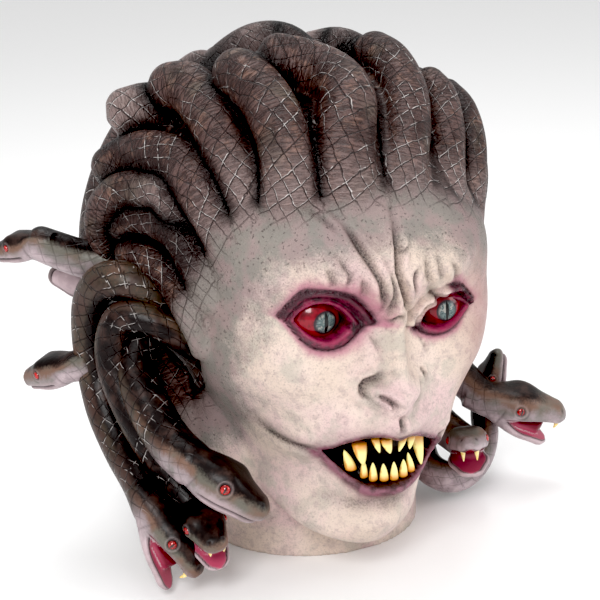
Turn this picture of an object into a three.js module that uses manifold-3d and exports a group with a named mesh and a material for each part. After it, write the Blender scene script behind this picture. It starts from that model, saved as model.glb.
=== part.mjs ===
// Full-head latex mask of a medusa: a furrowed, fanged face under a scalp of thick scaly snake coils,
// with nine snake heads swinging free at the sides. The whole mask is one slush-cast latex shell,
// open at the neck, and it stands on its neck rim.
// Lengths are millimetres. While it is built, x is measured from the face's midline towards the
// mask's own left, y from the ear line towards the back, and z up from the neck rim.
import * as THREE from "three";
import { mergeVertices } from "three/addons/utils/BufferGeometryUtils.js";
import Module from "manifold-3d";

const wasm = await Module();
wasm.setup();

// Driving dimensions of the casting
const latexWall = 4;
const chinHeight = 25;
const crownHeight = 261;
const eyeHeight = 147;
const eyeSpread = 35;
const mouthHeight = 73;
const mouthHalfWidth = 31;
const noseTipHeight = 107;
const faceMidline = -5;
const neckHalfWidth = 58;
const neckFront = -42;
const neckBack = 82;
const neckTop = 100;
const bodySides = 6;
const bodyStride = 1.7;

// Where the face's midline and the ear line lie from the middle of the whole outline
const midlineOffset = 5.2;
const earLineOffset = -15.1;

const { clamp, degToRad, lerp, smoothstep } = THREE.MathUtils;

// A smooth value through stops of [position, value]
function curveThrough(stops) {
  const slopes = stops.map((stop, i) => {
    const before = stops[Math.max(i - 1, 0)];
    const after = stops[Math.min(i + 1, stops.length - 1)];
    return (after[1] - before[1]) / (after[0] - before[0]);
  });
  return (position) => {
    let i = 0;
    while (i < stops.length - 2 && position > stops[i + 1][0]) {
      i += 1;
    }
    const span = stops[i + 1][0] - stops[i][0];
    const t = clamp((position - stops[i][0]) / span, 0, 1);
    const start = stops[i][1] + slopes[i] * span * t * (1 - t) * (1 - t);
    const end = stops[i + 1][1] - slopes[i + 1] * span * t * t * (1 - t);
    const blend = t * t * (3 - 2 * t);
    return start + end - stops[i + 1][1] * (1 - blend) - stops[i][1] * blend;
  };
}

// A closed solid from a sphere's grid: place(u, v, point) moves each grid point, u around, v upwards
function solidFromGrid(columns, rows, place) {
  const geometry = new THREE.SphereGeometry(1, columns, rows);
  const position = geometry.attributes.position;
  const uv = geometry.attributes.uv;
  const point = new THREE.Vector3();
  for (let i = 0; i < position.count; i += 1) {
    const row = Math.round((1 - uv.getY(i)) * rows);
    const column = Math.floor(i % (columns + 1)) % columns;
    place(column / columns, row, point);
    position.setXYZ(i, point.x, point.y, point.z);
  }
  return solidFrom(geometry);
}

// A three.js geometry as a solid that can be joined and cut
function solidFrom(geometry) {
  geometry.deleteAttribute("normal");
  geometry.deleteAttribute("uv");
  const merged = mergeVertices(geometry, 1e-4);
  const mesh = new wasm.Mesh({
    numProp: 3,
    vertProperties: new Float32Array(merged.attributes.position.array),
    triVerts: new Uint32Array(merged.index.array),
  });
  return new wasm.Manifold(mesh);
}

function geometryFrom(solid) {
  const mesh = solid.getMesh();
  const geometry = new THREE.BufferGeometry();
  geometry.setAttribute("position", new THREE.BufferAttribute(new Float32Array(mesh.vertProperties), 3));
  geometry.setIndex(new THREE.BufferAttribute(new Uint32Array(mesh.triVerts), 1));
  geometry.computeVertexNormals();
  return geometry;
}

// Head form without features: half-width, front, back and squareness of each level section
const headHalfWidth = curveThrough([
  [chinHeight, 4], [28, 12], [32, 22], [36, 34], [42, 42], [52, 50], [71, 60], [84, 66], [103, 75],
  [113, 78], [130, 80], [150, 79], [186, 80], [216, 74], [246, 52], [crownHeight, 18],
]);
const headFront = curveThrough([
  [chinHeight, -80], [28, -86], [32, -90], [38, -93], [54, -87], [74, -88], [94, -91], [120, -88],
  [146, -87], [172, -88], [190, -79], [205, -68], [231, -46], [246, -30], [crownHeight, 2],
]);
const headBack = curveThrough([
  [chinHeight, -66], [28, -60], [32, -46], [36, -20], [42, 20], [52, 54], [71, 76], [84, 88], [103, 96],
  [146, 100], [186, 104], [216, 98], [246, 75], [crownHeight, 36],
]);
const headSquareness = curveThrough([
  [chinHeight, 2], [32, 1.8], [42, 1.75], [52, 1.75], [71, 1.8], [84, 1.9], [103, 2.2],
  [113, 2.5], [130, 2.7], [166, 2.7], [190, 2.5], [216, 2.2], [crownHeight, 2],
]);

// A rounded swelling on the face, or with a negative height a hollow
function swelling(x, z, centreX, centreZ, reachX, reachZ, height) {
  const across = (x - centreX) / reachX;
  const along = (z - centreZ) / reachZ;
  return height * Math.exp(-across * across - along * along);
}

// How far the face stands out from the plain head form at (x, z)
function faceRelief(headX, z) {
  const x = headX - faceMidline;
  const side = Math.abs(x);
  const noseUnderside = smoothstep(z, noseTipHeight - 13, noseTipHeight - 6);
  const nose = swelling(x, z, 0, eyeHeight - 8, 8, 16, 8)
    + swelling(x, z, 0, noseTipHeight + 13, 10, 14, 9)
    + swelling(x, z, 0, noseTipHeight, 10, 9, 12)
    + swelling(side, z, 12, noseTipHeight - 5, 6, 7, 8);
  const browLine = eyeHeight + 16 + 0.22 * side;
  const brow = swelling(side, z, 30, browLine, 24, 9, 8);
  const frown = swelling(side, z, 9, eyeHeight + 22, 5, 18, 4);
  const sockets = swelling(side, z, eyeSpread, eyeHeight, 19, 12, -6);
  const cheekbones = swelling(side, z, 50, noseTipHeight + 14, 18, 15, 4);
  const upperLip = swelling(x, z, 0, mouthHeight + 16, 22, 6, 5);
  const lowerLip = swelling(x, z, 0, mouthHeight - 18, 22, 6, 4);
  const smileFold = swelling(side, z, mouthHalfWidth + 4, mouthHeight + 8, 9, 16, 3);
  const chin = swelling(x, z, 0, chinHeight + 13, 15, 8, 3);
  return nose * noseUnderside + brow + frown + sockets + cheekbones + upperLip + lowerLip + smileFold + chin;
}

// Point on the head, or on the hollow inside it when inset is the wall
function headPoint(height, angle, inset, point) {
  const front = headFront(height) + inset;
  const back = headBack(height) - inset;
  const middle = (front + back) / 2;
  const squareness = 2 / headSquareness(height);
  const across = Math.sign(Math.sin(angle)) * Math.abs(Math.sin(angle)) ** squareness;
  const forward = Math.sign(Math.cos(angle)) * Math.abs(Math.cos(angle)) ** squareness;
  const x = (headHalfWidth(height) - inset) * across;
  const facing = smoothstep(Math.cos(angle), -0.1, 0.35);
  const y = middle - (middle - front) * forward - faceRelief(x, height) * facing;
  return point.set(x, y, height);
}

// Columns stand closer together at the front, where the features are
function columnAngle(u) {
  const turn = 2 * u - 0.5;
  const wrapped = turn > 1 ? turn - 2 : turn;
  return Math.PI * wrapped * (0.45 + 0.55 * wrapped * wrapped);
}

// Levels of the head form from crown to chin: [height, levels down to the next]
function headLevels(top, bottom, detail) {
  const bands = [[top, 3], [222, 2], [205, 3], [172, 15], [52, 4], [bottom, 0]];
  const levels = [];
  bands.slice(0, -1).forEach(([height, count], i) => {
    const steps = Math.max(1, Math.round(count * detail));
    for (let step = 0; step < steps; step += 1) {
      levels.push(lerp(height, bands[i + 1][0], step / steps));
    }
  });
  levels.push(bottom);
  return levels;
}

// Head form from chin to crown; inset is the wall when it makes the hollow inside
function headSolid(columns, detail, inset) {
  const levels = headLevels(crownHeight - inset, chinHeight + inset, detail);
  const last = levels.length - 1;
  return solidFromGrid(columns, last, (u, row, point) => {
    const level = levels[row];
    if (row === 0 || row === last) {
      return point.set(0, (headFront(level) + headBack(level)) / 2, level);
    }
    return headPoint(level, columnAngle(u), inset, point);
  });
}

// Short neck, flat below: an elliptic sleeve that runs up inside the head
function neckSolid(inset, bottom, top) {
  const sleeve = new THREE.CylinderGeometry(1, 1, 1, 20, 1);
  sleeve.rotateX(Math.PI / 2);
  const halfDepth = (neckBack - neckFront) / 2 - inset;
  sleeve.scale(neckHalfWidth - inset, halfDepth, top - bottom);
  sleeve.translate(0, (neckBack + neckFront) / 2, (top + bottom) / 2);
  return solidFrom(sleeve);
}

// A round body swept along a route of [x, y, z] points, its ends rounded off.
// girth is the radius, or [radius at the start, radius at the end]; stride is the
// distance from ring to ring in radii
function sweptBody(route, girth, sides, stride) {
  const curve = new THREE.CatmullRomCurve3(route.map((stop) => new THREE.Vector3(...stop)));
  const length = curve.getLength();
  const [startRadius, endRadius] = Array.isArray(girth) ? girth : [girth, girth];
  const spacing = stride * Math.max(startRadius, endRadius);
  const straight = Math.max(2, Math.round((length - startRadius - endRadius) / spacing));
  const stations = [[0, 0], [0.25 * startRadius, 0.7]];
  for (let i = 0; i <= straight; i += 1) {
    stations.push([lerp(startRadius, length - endRadius, i / straight), 1]);
  }
  stations.push([length - 0.25 * endRadius, 0.7], [length, 0]);
  const rings = ringsAlong(curve, length, stations.map((station) => station[0]));
  return solidFromGrid(sides, stations.length - 1, (u, row, point) => {
    const radius = lerp(startRadius, endRadius, stations[row][0] / length) * stations[row][1];
    return placeOnRing(rings[row], u, radius, radius, point);
  });
}

// Centre and two cross directions at each distance along a curve, carried along without twist
function ringsAlong(curve, length, distances) {
  const rings = [];
  let across = null;
  for (const distance of distances) {
    const u = clamp(distance / length, 0, 1);
    const forward = curve.getTangentAt(u);
    if (across === null) {
      const helper = Math.abs(forward.z) < 0.8 ? new THREE.Vector3(0, 0, 1) : new THREE.Vector3(0, 1, 0);
      across = new THREE.Vector3().crossVectors(helper, forward);
    }
    across = across.clone().addScaledVector(forward, -across.dot(forward)).normalize();
    const other = new THREE.Vector3().crossVectors(forward, across);
    rings.push({ centre: curve.getPointAt(u), across, other });
  }
  return rings;
}

function placeOnRing(ring, u, acrossRadius, otherRadius, point) {
  const angle = 2 * Math.PI * u;
  return point.copy(ring.centre)
    .addScaledVector(ring.across, -Math.cos(angle) * acrossRadius)
    .addScaledVector(ring.other, Math.sin(angle) * otherRadius);
}

// One half of a snake's head: widths and heights along it, as shares of the head's length
function jawSolid(base, forward, crown, length, profile, columns) {
  const side = new THREE.Vector3().crossVectors(crown, forward).normalize();
  const up = new THREE.Vector3().crossVectors(forward, side);
  return solidFromGrid(columns, profile.length - 1, (u, row, point) => {
    const [along, halfWidth, above, below] = profile[row];
    const angle = 2 * Math.PI * u;
    const rise = Math.sin(angle);
    return point.copy(base)
      .addScaledVector(forward, along * length)
      .addScaledVector(side, -Math.cos(angle) * halfWidth * length)
      .addScaledVector(up, rise * (rise > 0 ? above : below) * length);
  });
}

// Rows of [distance, half-width, height above, depth below] as shares of the head's length
const closedHead = [
  [-0.3, 0, 0, 0], [-0.2, 0.22, 0.2, 0.2], [0.12, 0.32, 0.25, 0.22], [0.42, 0.35, 0.26, 0.2],
  [0.7, 0.26, 0.2, 0.15], [0.95, 0.14, 0.1, 0.09], [1, 0, 0, 0],
];
const upperJaw = [
  [-0.3, 0, 0, 0], [-0.2, 0.22, 0.2, 0.16], [0.12, 0.32, 0.26, 0.12], [0.42, 0.35, 0.27, 0.05],
  [0.7, 0.26, 0.21, 0.04], [0.95, 0.15, 0.11, 0.04], [1, 0, 0, 0],
];
const lowerJaw = [
  [-0.3, 0, 0, 0], [-0.18, 0.22, 0.08, 0.12], [0.2, 0.3, 0.02, 0.16], [0.6, 0.23, 0.02, 0.12],
  [0.86, 0.12, 0.01, 0.07], [0.92, 0, 0, 0],
];

// A snake's head on its neck at base, looking towards snout; gape is how far the jaw drops, in degrees
function snakeHead({ base, snout, crown, gape }) {
  const from = new THREE.Vector3(...base);
  const forward = new THREE.Vector3(...snout).sub(from);
  const length = forward.length();
  forward.normalize();
  const up = new THREE.Vector3(...crown);
  up.addScaledVector(forward, -up.dot(forward)).normalize();
  const side = new THREE.Vector3().crossVectors(up, forward);
  const pieces = [];
  if (gape === 0) {
    pieces.push(jawSolid(from, forward, up, length, closedHead, 8));
  } else {
    pieces.push(jawSolid(from, forward, up, length, upperJaw, 8));
    const drop = new THREE.Quaternion().setFromAxisAngle(side, degToRad(gape));
    const jawForward = forward.clone().applyQuaternion(drop);
    const jawUp = up.clone().applyQuaternion(drop);
    const hinge = from.clone().addScaledVector(up, -0.06 * length);
    pieces.push(jawSolid(hinge, jawForward, jawUp, length, lowerJaw, 6));
  }
  for (const hand of [-1, 1]) {
    const eye = new THREE.SphereGeometry(0.1 * length, 4, 2);
    const place = from.clone()
      .addScaledVector(forward, 0.56 * length)
      .addScaledVector(side, hand * 0.24 * length)
      .addScaledVector(up, 0.12 * length);
    eye.translate(place.x, place.y, place.z);
    pieces.push(solidFrom(eye));
    if (gape > 0) {
      const fangBase = from.clone()
        .addScaledVector(forward, 0.8 * length)
        .addScaledVector(side, hand * 0.1 * length);
      const fangTip = fangBase.clone().addScaledVector(up, -0.2 * length);
      pieces.push(spike(fangBase, fangTip, 0.05 * length, 4));
    }
  }
  return wasm.Manifold.union(pieces);
}

// A tooth or fang: a slim cone from its root to its tip
function spike(root, tip, radius, sides) {
  const length = root.distanceTo(tip);
  const cone = new THREE.ConeGeometry(radius, length, sides, 1);
  cone.translate(0, length / 2, 0);
  const turn = new THREE.Quaternion().setFromUnitVectors(
    new THREE.Vector3(0, 1, 0),
    tip.clone().sub(root).normalize(),
  );
  cone.applyQuaternion(turn);
  cone.translate(root.x, root.y, root.z);
  return solidFrom(cone);
}

// Scalp coils, each a route for its middle line and its radius. They rise from the hairline,
// arch back and tuck in behind their neighbours. The mask's right side, then the crown, then the left.
const rightCoils = [
  { route: [[-52, -27, 198], [-64, -21, 221], [-69, 0, 239], [-68, 28, 248], [-74, 36, 249], [-80, 42, 236]], girth: 13 },
  { route: [[-62, -19, 184], [-78, -15, 208], [-85, 8, 218], [-93, 28, 216], [-98, 42, 208], [-97, 54, 194]], girth: 12 },
  { route: [[-68, -8, 162], [-86, -3, 190], [-97, 12, 199], [-106, 30, 194], [-111, 40, 179], [-105, 46, 159]], girth: 11.5 },
  { route: [[-70, -11, 147], [-83, -10, 170], [-91, 6, 182], [-98, 28, 180]], girth: 9.5 },
  { route: [[-70, 0, 125], [-83, -5, 150], [-93, 6, 161], [-100, 28, 160]], girth: 9.5 },
];
const crownCoils = [
  { route: [[-36, -40, 203], [-39, -40, 224], [-41, -32, 241], [-45, -21, 253], [-51, -6, 259], [-56, 10, 256], [-58, 16, 243]], girth: 14 },
  { route: [[-10, -48, 198], [-11, -50, 218], [-9, -46, 236], [-7, -38, 250], [-9, -28, 259], [-18, -18, 262], [-30, -6, 256]], girth: 17 },
  { route: [[21, -46, 198], [23, -44, 218], [29, -36, 238], [35, -18, 253], [40, 6, 261], [38, 20, 262]], girth: 12 },
  { route: [[52, -24, 188], [60, -24, 212], [64, -10, 230], [66, 12, 246]], girth: 11 },
  { route: [[66, -27, 165], [73, -25, 190], [74, -18, 216], [71, -2, 238]], girth: 10.5 },
  { route: [[70, -22, 150], [79, -25, 184], [80, -18, 210], [80, 4, 226]], girth: 10.5 },
  { route: [[-52, 52, 242], [-34, 46, 259], [-15, 42, 264], [4, 32, 255]], girth: 14 },
  { route: [[10, 42, 262], [24, 38, 266], [38, 30, 260]], girth: 10 },
  { route: [[34, 42, 256], [48, 30, 259], [55, 17, 253], [60, 4, 240]], girth: 12 },
  { route: [[-93, 52, 235], [-80, 48, 236], [-66, 44, 230]], girth: 12.5 },
];
const allCoils = [...rightCoils, ...crownCoils];

// Loops low on the left, which the face hides from the front
const leftCoils = rightCoils.slice(1, 3).map(({ route, girth }) => ({
  route: route.map(([x, y, z]) => [-0.92 * x, y + 4, z]),
  girth: girth + 1,
}));

// The back of the scalp: strands that leave the crown and weave down to the nape
function backStrand(azimuth, sway) {
  const route = [];
  const strandSteps = 5;
  for (let i = 0; i <= strandSteps; i += 1) {
    const elevation = degToRad(lerp(66, -42, i / strandSteps));
    const turn = degToRad(azimuth + sway * Math.sin((i / strandSteps) * 2 * Math.PI));
    const reach = Math.cos(elevation);
    route.push([
      hairMass.halfWidth * Math.sin(turn) * reach,
      hairMass.middleY - hairMass.halfDepth * Math.cos(turn) * reach,
      hairMass.middleZ + hairMass.halfHeight * Math.sin(elevation),
    ]);
  }
  return { route, girth: 19 };
}

// The swollen scalp under the coils
const hairMass = { halfWidth: 98, halfDepth: 72, halfHeight: 92, middleY: 46, middleZ: 162 };
const backAzimuths = [118, 159, 201, 242];
const backCoils = backAzimuths.map((azimuth, i) => backStrand(azimuth, i % 2 === 0 ? 7 : -7));

function hairMassSolid() {
  const mass = new THREE.SphereGeometry(1, 14, 8);
  mass.rotateX(Math.PI / 2);
  mass.scale(hairMass.halfWidth, hairMass.halfDepth, hairMass.halfHeight);
  mass.translate(0, hairMass.middleY, hairMass.middleZ);
  return solidFrom(mass);
}

// Snakes that swing free of the scalp, each a route from its root and a head
const freeSnakes = [
  {
    // Long outer loop on the right, ending in a wide-open head low in front
    route: [[-70, 12, 110], [-81, 14, 132], [-99, 4, 145], [-110, 18, 148], [-118, 32, 136], [-119, 36, 114],
      [-117, 32, 92], [-112, 20, 72], [-107, 6, 54], [-104, -8, 40]],
    girth: [11.5, 10.5],
    head: { base: [-104, -8, 40], snout: [-87, -35, 14], crown: [-0.3, -0.6, 0.5], gape: 42 },
  },
  {
    // Inner loop on the right, ending in an open head
    route: [[-81, -12, 78], [-89, -13, 102], [-98, -6, 122], [-107, 4, 130], [-114, 12, 122], [-115, 12, 104],
      [-109, 4, 81], [-101, -8, 61], [-92, -22, 44]],
    girth: [8.5, 9.5],
    head: { base: [-92, -22, 44], snout: [-76, -46, 15], crown: [0.1, -0.8, 0.5], gape: 26 },
  },
  {
    // Innermost on the right, its closed head resting along the jaw
    route: [[-100, 12, 112], [-103, 2, 98], [-97, -10, 81], [-87, -24, 67], [-77, -38, 58]],
    girth: [10, 11.5],
    head: { base: [-80, -36, 60], snout: [-57, -62, 44], crown: [0.2, -0.3, 0.9], gape: 0 },
  },
  {
    // High on the right, looking back and away
    route: [[-96, 40, 140], [-112, 50, 147], [-128, 56, 154], [-141, 60, 160]],
    girth: [13, 9],
    head: { base: [-139, 60, 160], snout: [-167, 65, 154], crown: [0.1, -0.5, 0.9], gape: 0 },
  },
  {
    // Close below it, a blunt pale one
    route: [[-80, 46, 128], [-96, 56, 130], [-108, 64, 132], [-116, 70, 134]],
    girth: [12, 9],
    head: { base: [-108, 66, 132], snout: [-128, 80, 137], crown: [0, 0.4, 0.9], gape: 0 },
  },
  {
    // Halfway down on the right, looking out
    route: [[-108, 42, 92], [-120, 40, 97], [-136, 37, 99]],
    girth: [10, 8.5],
    head: { base: [-132, 38, 99], snout: [-160, 30, 91], crown: [-0.2, -0.4, 0.9], gape: 8 },
  },
  {
    // Left side, reaching out with its mouth open
    route: [[66, 40, 118], [88, 40, 126], [100, 38, 110], [98, 27, 88], [96, 12, 75], [107, 0, 69], [124, -8, 61]],
    girth: [11.5, 10],
    head: { base: [122, -7, 62], snout: [156, -17, 48], crown: [0.3, -0.25, 0.9], gape: 30 },
  },
  {
    // Left side, doubled under and rearing up behind the last
    route: [[62, 46, 92], [78, 42, 70], [82, 32, 42], [86, 22, 22], [96, 14, 14.5], [108, 11, 16], [117, 13, 26],
      [121, 16, 42], [123, 18, 62]],
    girth: [11, 9],
    head: { base: [123, 18, 62], snout: [128, 14, 90], crown: [0.6, -0.6, 0.1], gape: 0 },
  },
  {
    // Left side, low, facing forward with its mouth open
    route: [[52, 30, 78], [72, 24, 56], [86, 12, 42], [93, 2, 39]],
    girth: [11, 10],
    head: { base: [93, 4, 39], snout: [88, -26, 37], crown: [0.1, 0, 1], gape: 34 },
  },
];

// A ridge laid on the face along points of (x, z)
function faceRidge(points, girth, sink) {
  const route = points.map(([x, z]) => [x, faceSurface(x, z) + sink, z]);
  return sweptBody(route, girth, 4, 2.2);
}

// The face's surface at (x, z)
function faceSurface(x, z) {
  const front = headFront(z);
  const middle = (front + headBack(z)) / 2;
  const squareness = headSquareness(z);
  const across = clamp(Math.abs(x) / headHalfWidth(z), 0, 0.98);
  return middle - (middle - front) * (1 - across ** squareness) ** (1 / squareness) - faceRelief(x, z);
}

// Deep-set eyes: a wide flattened ball behind each almond opening, with rolled lids round it
const eyeHalfLength = 15;
const eyeHalfHeight = 9;
const eyeTilt = 0.18;

function eyeSolids(hand) {
  const ballDepth = 13;
  const proud = 3;
  const ball = new THREE.SphereGeometry(1, 10, 6);
  ball.scale(eyeHalfLength + 3, ballDepth, eyeHalfHeight + 3);
  ball.rotateY(-hand * Math.atan(eyeTilt));
  const middle = faceMidline + hand * eyeSpread;
  ball.translate(middle, faceSurface(middle, eyeHeight) + ballDepth - proud, eyeHeight);
  const solids = [solidFrom(ball)];
  const lidSteps = 6;
  for (const half of [-1, 1]) {
    const points = [];
    for (let i = 0; i <= lidSteps; i += 1) {
      const turn = Math.PI * (i / lidSteps);
      const along = -Math.cos(turn) * (eyeHalfLength + 3);
      const rise = Math.sin(turn) * (eyeHalfHeight + 3);
      points.push([middle + hand * along, eyeHeight + eyeTilt * along + half * rise]);
    }
    solids.push(faceRidge(points, half > 0 ? 3.4 : 2.8, 0.5));
  }
  return solids;
}

// Mouth: a deep open smile between rolled lips, with separate pointed teeth
const mouthDepth = 11;
const upperLipLine = (x) => mouthHeight + 3 + 7 * (1 - (x / mouthHalfWidth) ** 2);
const lowerLipLine = (x) => mouthHeight + 3 - 20 * (1 - Math.abs(x / mouthHalfWidth) ** 2.2);

// The open mouth as a solid, its floor following the face's curve; grown is how much larger
// it stands all round when it keeps the hollow inside the mask clear of the mouth
function mouthOpening(grown) {
  return solidFromGrid(16, 3, (u, row, point) => {
    const turn = 2 * Math.PI * u;
    const reach = row === 0 || row === 3 ? 0 : 1;
    const across = -Math.cos(turn) * reach;
    const x = mouthHalfWidth * across;
    const line = Math.sin(turn) > 0 ? upperLipLine(x) : lowerLipLine(x);
    const z = reach === 0 ? mouthHeight : line + Math.sign(Math.sin(turn)) * grown;
    const floor = faceSurface(x + faceMidline, mouthHeight) + mouthDepth + grown;
    const y = row < 2 ? floor : floor - 40;
    return point.set(x + faceMidline + across * grown, y, z);
  });
}

// Teeth: place across the mouth, length and width; the upper row hangs, the lower row stands
const upperTeeth = [
  [-17.5, 11, 6], [-10.5, 6, 4], [-5.5, 7, 5], [1, 6, 4.5], [7.5, 6, 4], [14, 15, 6],
];
const lowerTeeth = [
  [-22.5, 12, 6], [-15.5, 12, 4.5], [-10.5, 12, 4.5], [-5.5, 12, 4.5], [0, 11, 4.5], [5, 11, 4.5], [10, 12, 4.5],
];

function toothSolids() {
  const rows = [[upperTeeth, upperLipLine, -1], [lowerTeeth, lowerLipLine, 1]];
  return rows.flatMap(([teeth, lipLine, up]) => teeth.map(([x, length, width]) => {
    const gum = 3;
    const y = faceSurface(x + faceMidline, mouthHeight) + 5;
    const root = new THREE.Vector3(x + faceMidline, y, lipLine(x) - up * gum);
    const tip = root.clone().add(new THREE.Vector3(0, -1, up * (length + gum)));
    return spike(root, tip, width / 2, 4);
  }));
}

// Rolled lips along both edges of the mouth
function lipSolids() {
  return [[upperLipLine, 2.6, 2], [lowerLipLine, 3.6, -2]].map(([line, girth, lift]) => {
    const points = [];
    const lipSteps = 8;
    for (let i = 0; i <= lipSteps; i += 1) {
      const x = lerp(-mouthHalfWidth, mouthHalfWidth, i / lipSteps);
      points.push([x + faceMidline, line(x) + lift]);
    }
    return faceRidge(points, girth, 0.5);
  });
}

const skin = [headSolid(32, 1, 0), neckSolid(0, 0, neckTop), hairMassSolid()];
for (const { route, girth } of [...allCoils, ...leftCoils, ...backCoils, ...freeSnakes]) {
  skin.push(sweptBody(route, girth, bodySides, bodyStride));
}
for (const { head } of freeSnakes) {
  skin.push(snakeHead(head));
}
for (const hand of [-1, 1]) {
  skin.push(...eyeSolids(hand));
}
skin.push(...lipSolids());
const face = wasm.Manifold.union(skin).subtract(mouthOpening(0));
const outside = wasm.Manifold.union([face, ...toothSolids()]);
const hollow = wasm.Manifold.union([headSolid(16, 0.4, latexWall), neckSolid(latexWall, -1, neckTop)])
  .subtract(mouthOpening(latexWall));
const casting = outside.subtract(hollow);

const latex = new THREE.MeshStandardMaterial({ color: 0x8a7f78, roughness: 0.45, metalness: 0 });
const mask = new THREE.Mesh(geometryFrom(casting), latex);
mask.name = "latex_mask";

// The origin lies on the floor below the middle of the whole outline
const group = new THREE.Group();
group.position.set(midlineOffset, earLineOffset, 0);
group.add(mask);

export default group;
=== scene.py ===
import math

import bpy
import numpy as np
from mathutils import Matrix, Vector


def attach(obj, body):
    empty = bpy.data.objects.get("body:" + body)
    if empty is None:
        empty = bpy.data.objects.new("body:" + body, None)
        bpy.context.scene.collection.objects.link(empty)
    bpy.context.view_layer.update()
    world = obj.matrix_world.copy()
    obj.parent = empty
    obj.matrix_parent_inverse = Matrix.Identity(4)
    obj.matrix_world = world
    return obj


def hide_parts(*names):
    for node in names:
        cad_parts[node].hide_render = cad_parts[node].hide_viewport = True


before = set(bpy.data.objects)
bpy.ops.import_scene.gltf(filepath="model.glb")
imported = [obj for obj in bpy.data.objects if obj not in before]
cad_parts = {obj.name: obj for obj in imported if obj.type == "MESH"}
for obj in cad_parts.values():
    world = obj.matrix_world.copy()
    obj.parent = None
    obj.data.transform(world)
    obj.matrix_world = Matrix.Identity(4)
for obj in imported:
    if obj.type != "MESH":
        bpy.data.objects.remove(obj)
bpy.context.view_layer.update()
bpy.ops.object.select_all(action="DESELECT")

# Studio
# The mask stands on a pale floor in soft white light. The camera is a metre away, to the mask's right
# of its face and a little above it. Places are worked out in millimetres from the face form's midline,
# the ear line and the neck rim; MM and SHIFT turn them into the part's own metres.
MM = 0.001
SHIFT = np.array([5.2, -15.1, 0.0])

camera_turn = math.radians(-27)
camera_rise = math.radians(16)
camera_roll = math.radians(2)
camera_distance = 1000
picture_width = 600
sensor_width = 36
pixels_per_mm = 1.85
axis_pixel = (320, 256)

towards_camera = Vector((
    math.sin(camera_turn) * math.cos(camera_rise),
    -math.cos(camera_turn) * math.cos(camera_rise),
    math.sin(camera_rise),
))
level_right = (-towards_camera).cross(Vector((0, 0, 1))).normalized()
level_up = towards_camera.cross(level_right)
picture_right = level_right * math.cos(camera_roll) - level_up * math.sin(camera_roll)
picture_up = level_up * math.cos(camera_roll) + level_right * math.sin(camera_roll)
look_at = Vector((SHIFT + (0, 0, 156)) * MM)

bpy.ops.object.camera_add()
camera = bpy.context.object
camera.name = "camera"
camera.matrix_world = Matrix.Translation(look_at + towards_camera * camera_distance * MM) @ Matrix((
    picture_right, picture_up, towards_camera)).transposed().to_4x4()
camera.data.sensor_width = sensor_width
camera.data.lens = sensor_width * pixels_per_mm * camera_distance / picture_width
camera.data.shift_x = (picture_width / 2 - axis_pixel[0]) / picture_width
camera.data.shift_y = (axis_pixel[1] - picture_width / 2) / picture_width
bpy.context.scene.camera = camera


def soft_light(name, place, size, power):
    """A square softbox that faces the mask."""
    bpy.ops.object.light_add(type="AREA", location=place)
    light = bpy.context.object
    light.name = name
    light.data.size = size
    light.data.energy = power
    aim = Vector((0, 0, 0.15)) - light.location
    light.rotation_euler = aim.to_track_quat("-Z", "Y").to_euler()


soft_light("key_light", (-0.75, -1.0, 0.9), 0.5, 10.5)
soft_light("fill_light", (1.1, -0.7, 0.5), 0.7, 4)
soft_light("top_light", (0.1, 0.35, 1.3), 0.7, 6)

world = bpy.data.worlds.new("studio_air")
world.use_nodes = True
world.node_tree.nodes["Background"].inputs["Color"].default_value = (1, 1, 1, 1)
world.node_tree.nodes["Background"].inputs["Strength"].default_value = 0.6
bpy.context.scene.world = world
# The photograph's contrast: its darkest tones sink to black and its pale ones wash out to white
bpy.context.scene.view_settings.view_transform = "Standard"
bpy.context.scene.view_settings.use_curve_mapping = True
bpy.context.scene.view_settings.curve_mapping.black_level = (0.022, 0.022, 0.022)
bpy.context.scene.view_settings.curve_mapping.white_level = (0.82, 0.82, 0.82)

bpy.ops.mesh.primitive_plane_add(size=60, location=(0, 0, 0))
floor = bpy.context.object
floor.name = "floor"
floor_paint = bpy.data.materials.new("floor_paint")
floor_paint.use_nodes = True
floor_paint.node_tree.nodes["Principled BSDF"].inputs["Base Color"].default_value = (0.95, 0.95, 0.95, 1)
floor_paint.node_tree.nodes["Principled BSDF"].inputs["Roughness"].default_value = 0.7
floor.data.materials.append(floor_paint)

# Latex skin: face, neck and scalp coils
# One hollow slush casting of latex, some 4 mm thick. The face, the neck and the coils that lie on the
# scalp are this one skin; it is open at the neck rim below. The coils are solid here.
chin_height = 19
crown_height = 261


def curve_through(stops):
    """A smooth value through stops of (position, value)."""
    at = np.array([stop[0] for stop in stops], float)
    value = np.array([stop[1] for stop in stops], float)
    slope = np.gradient(value, at)

    def curve(position):
        position = np.clip(position, at[0], at[-1])
        i = np.clip(np.searchsorted(at, position) - 1, 0, len(at) - 2)
        span = at[i + 1] - at[i]
        t = (position - at[i]) / span
        start = value[i] + slope[i] * span * t * (1 - t) ** 2
        end = value[i + 1] - slope[i + 1] * span * t * t * (1 - t)
        blend = t * t * (3 - 2 * t)
        return start + end - value[i + 1] * (1 - blend) - value[i] * blend

    return curve


def ease(value, low, high):
    """0 below low, 1 above high and a soft step between."""
    t = np.clip((value - low) / (high - low), 0, 1)
    return t * t * (3 - 2 * t)


def mound(distance, reach):
    """A round swelling that dies away over reach."""
    return np.exp(-(distance / reach) ** 2)


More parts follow.
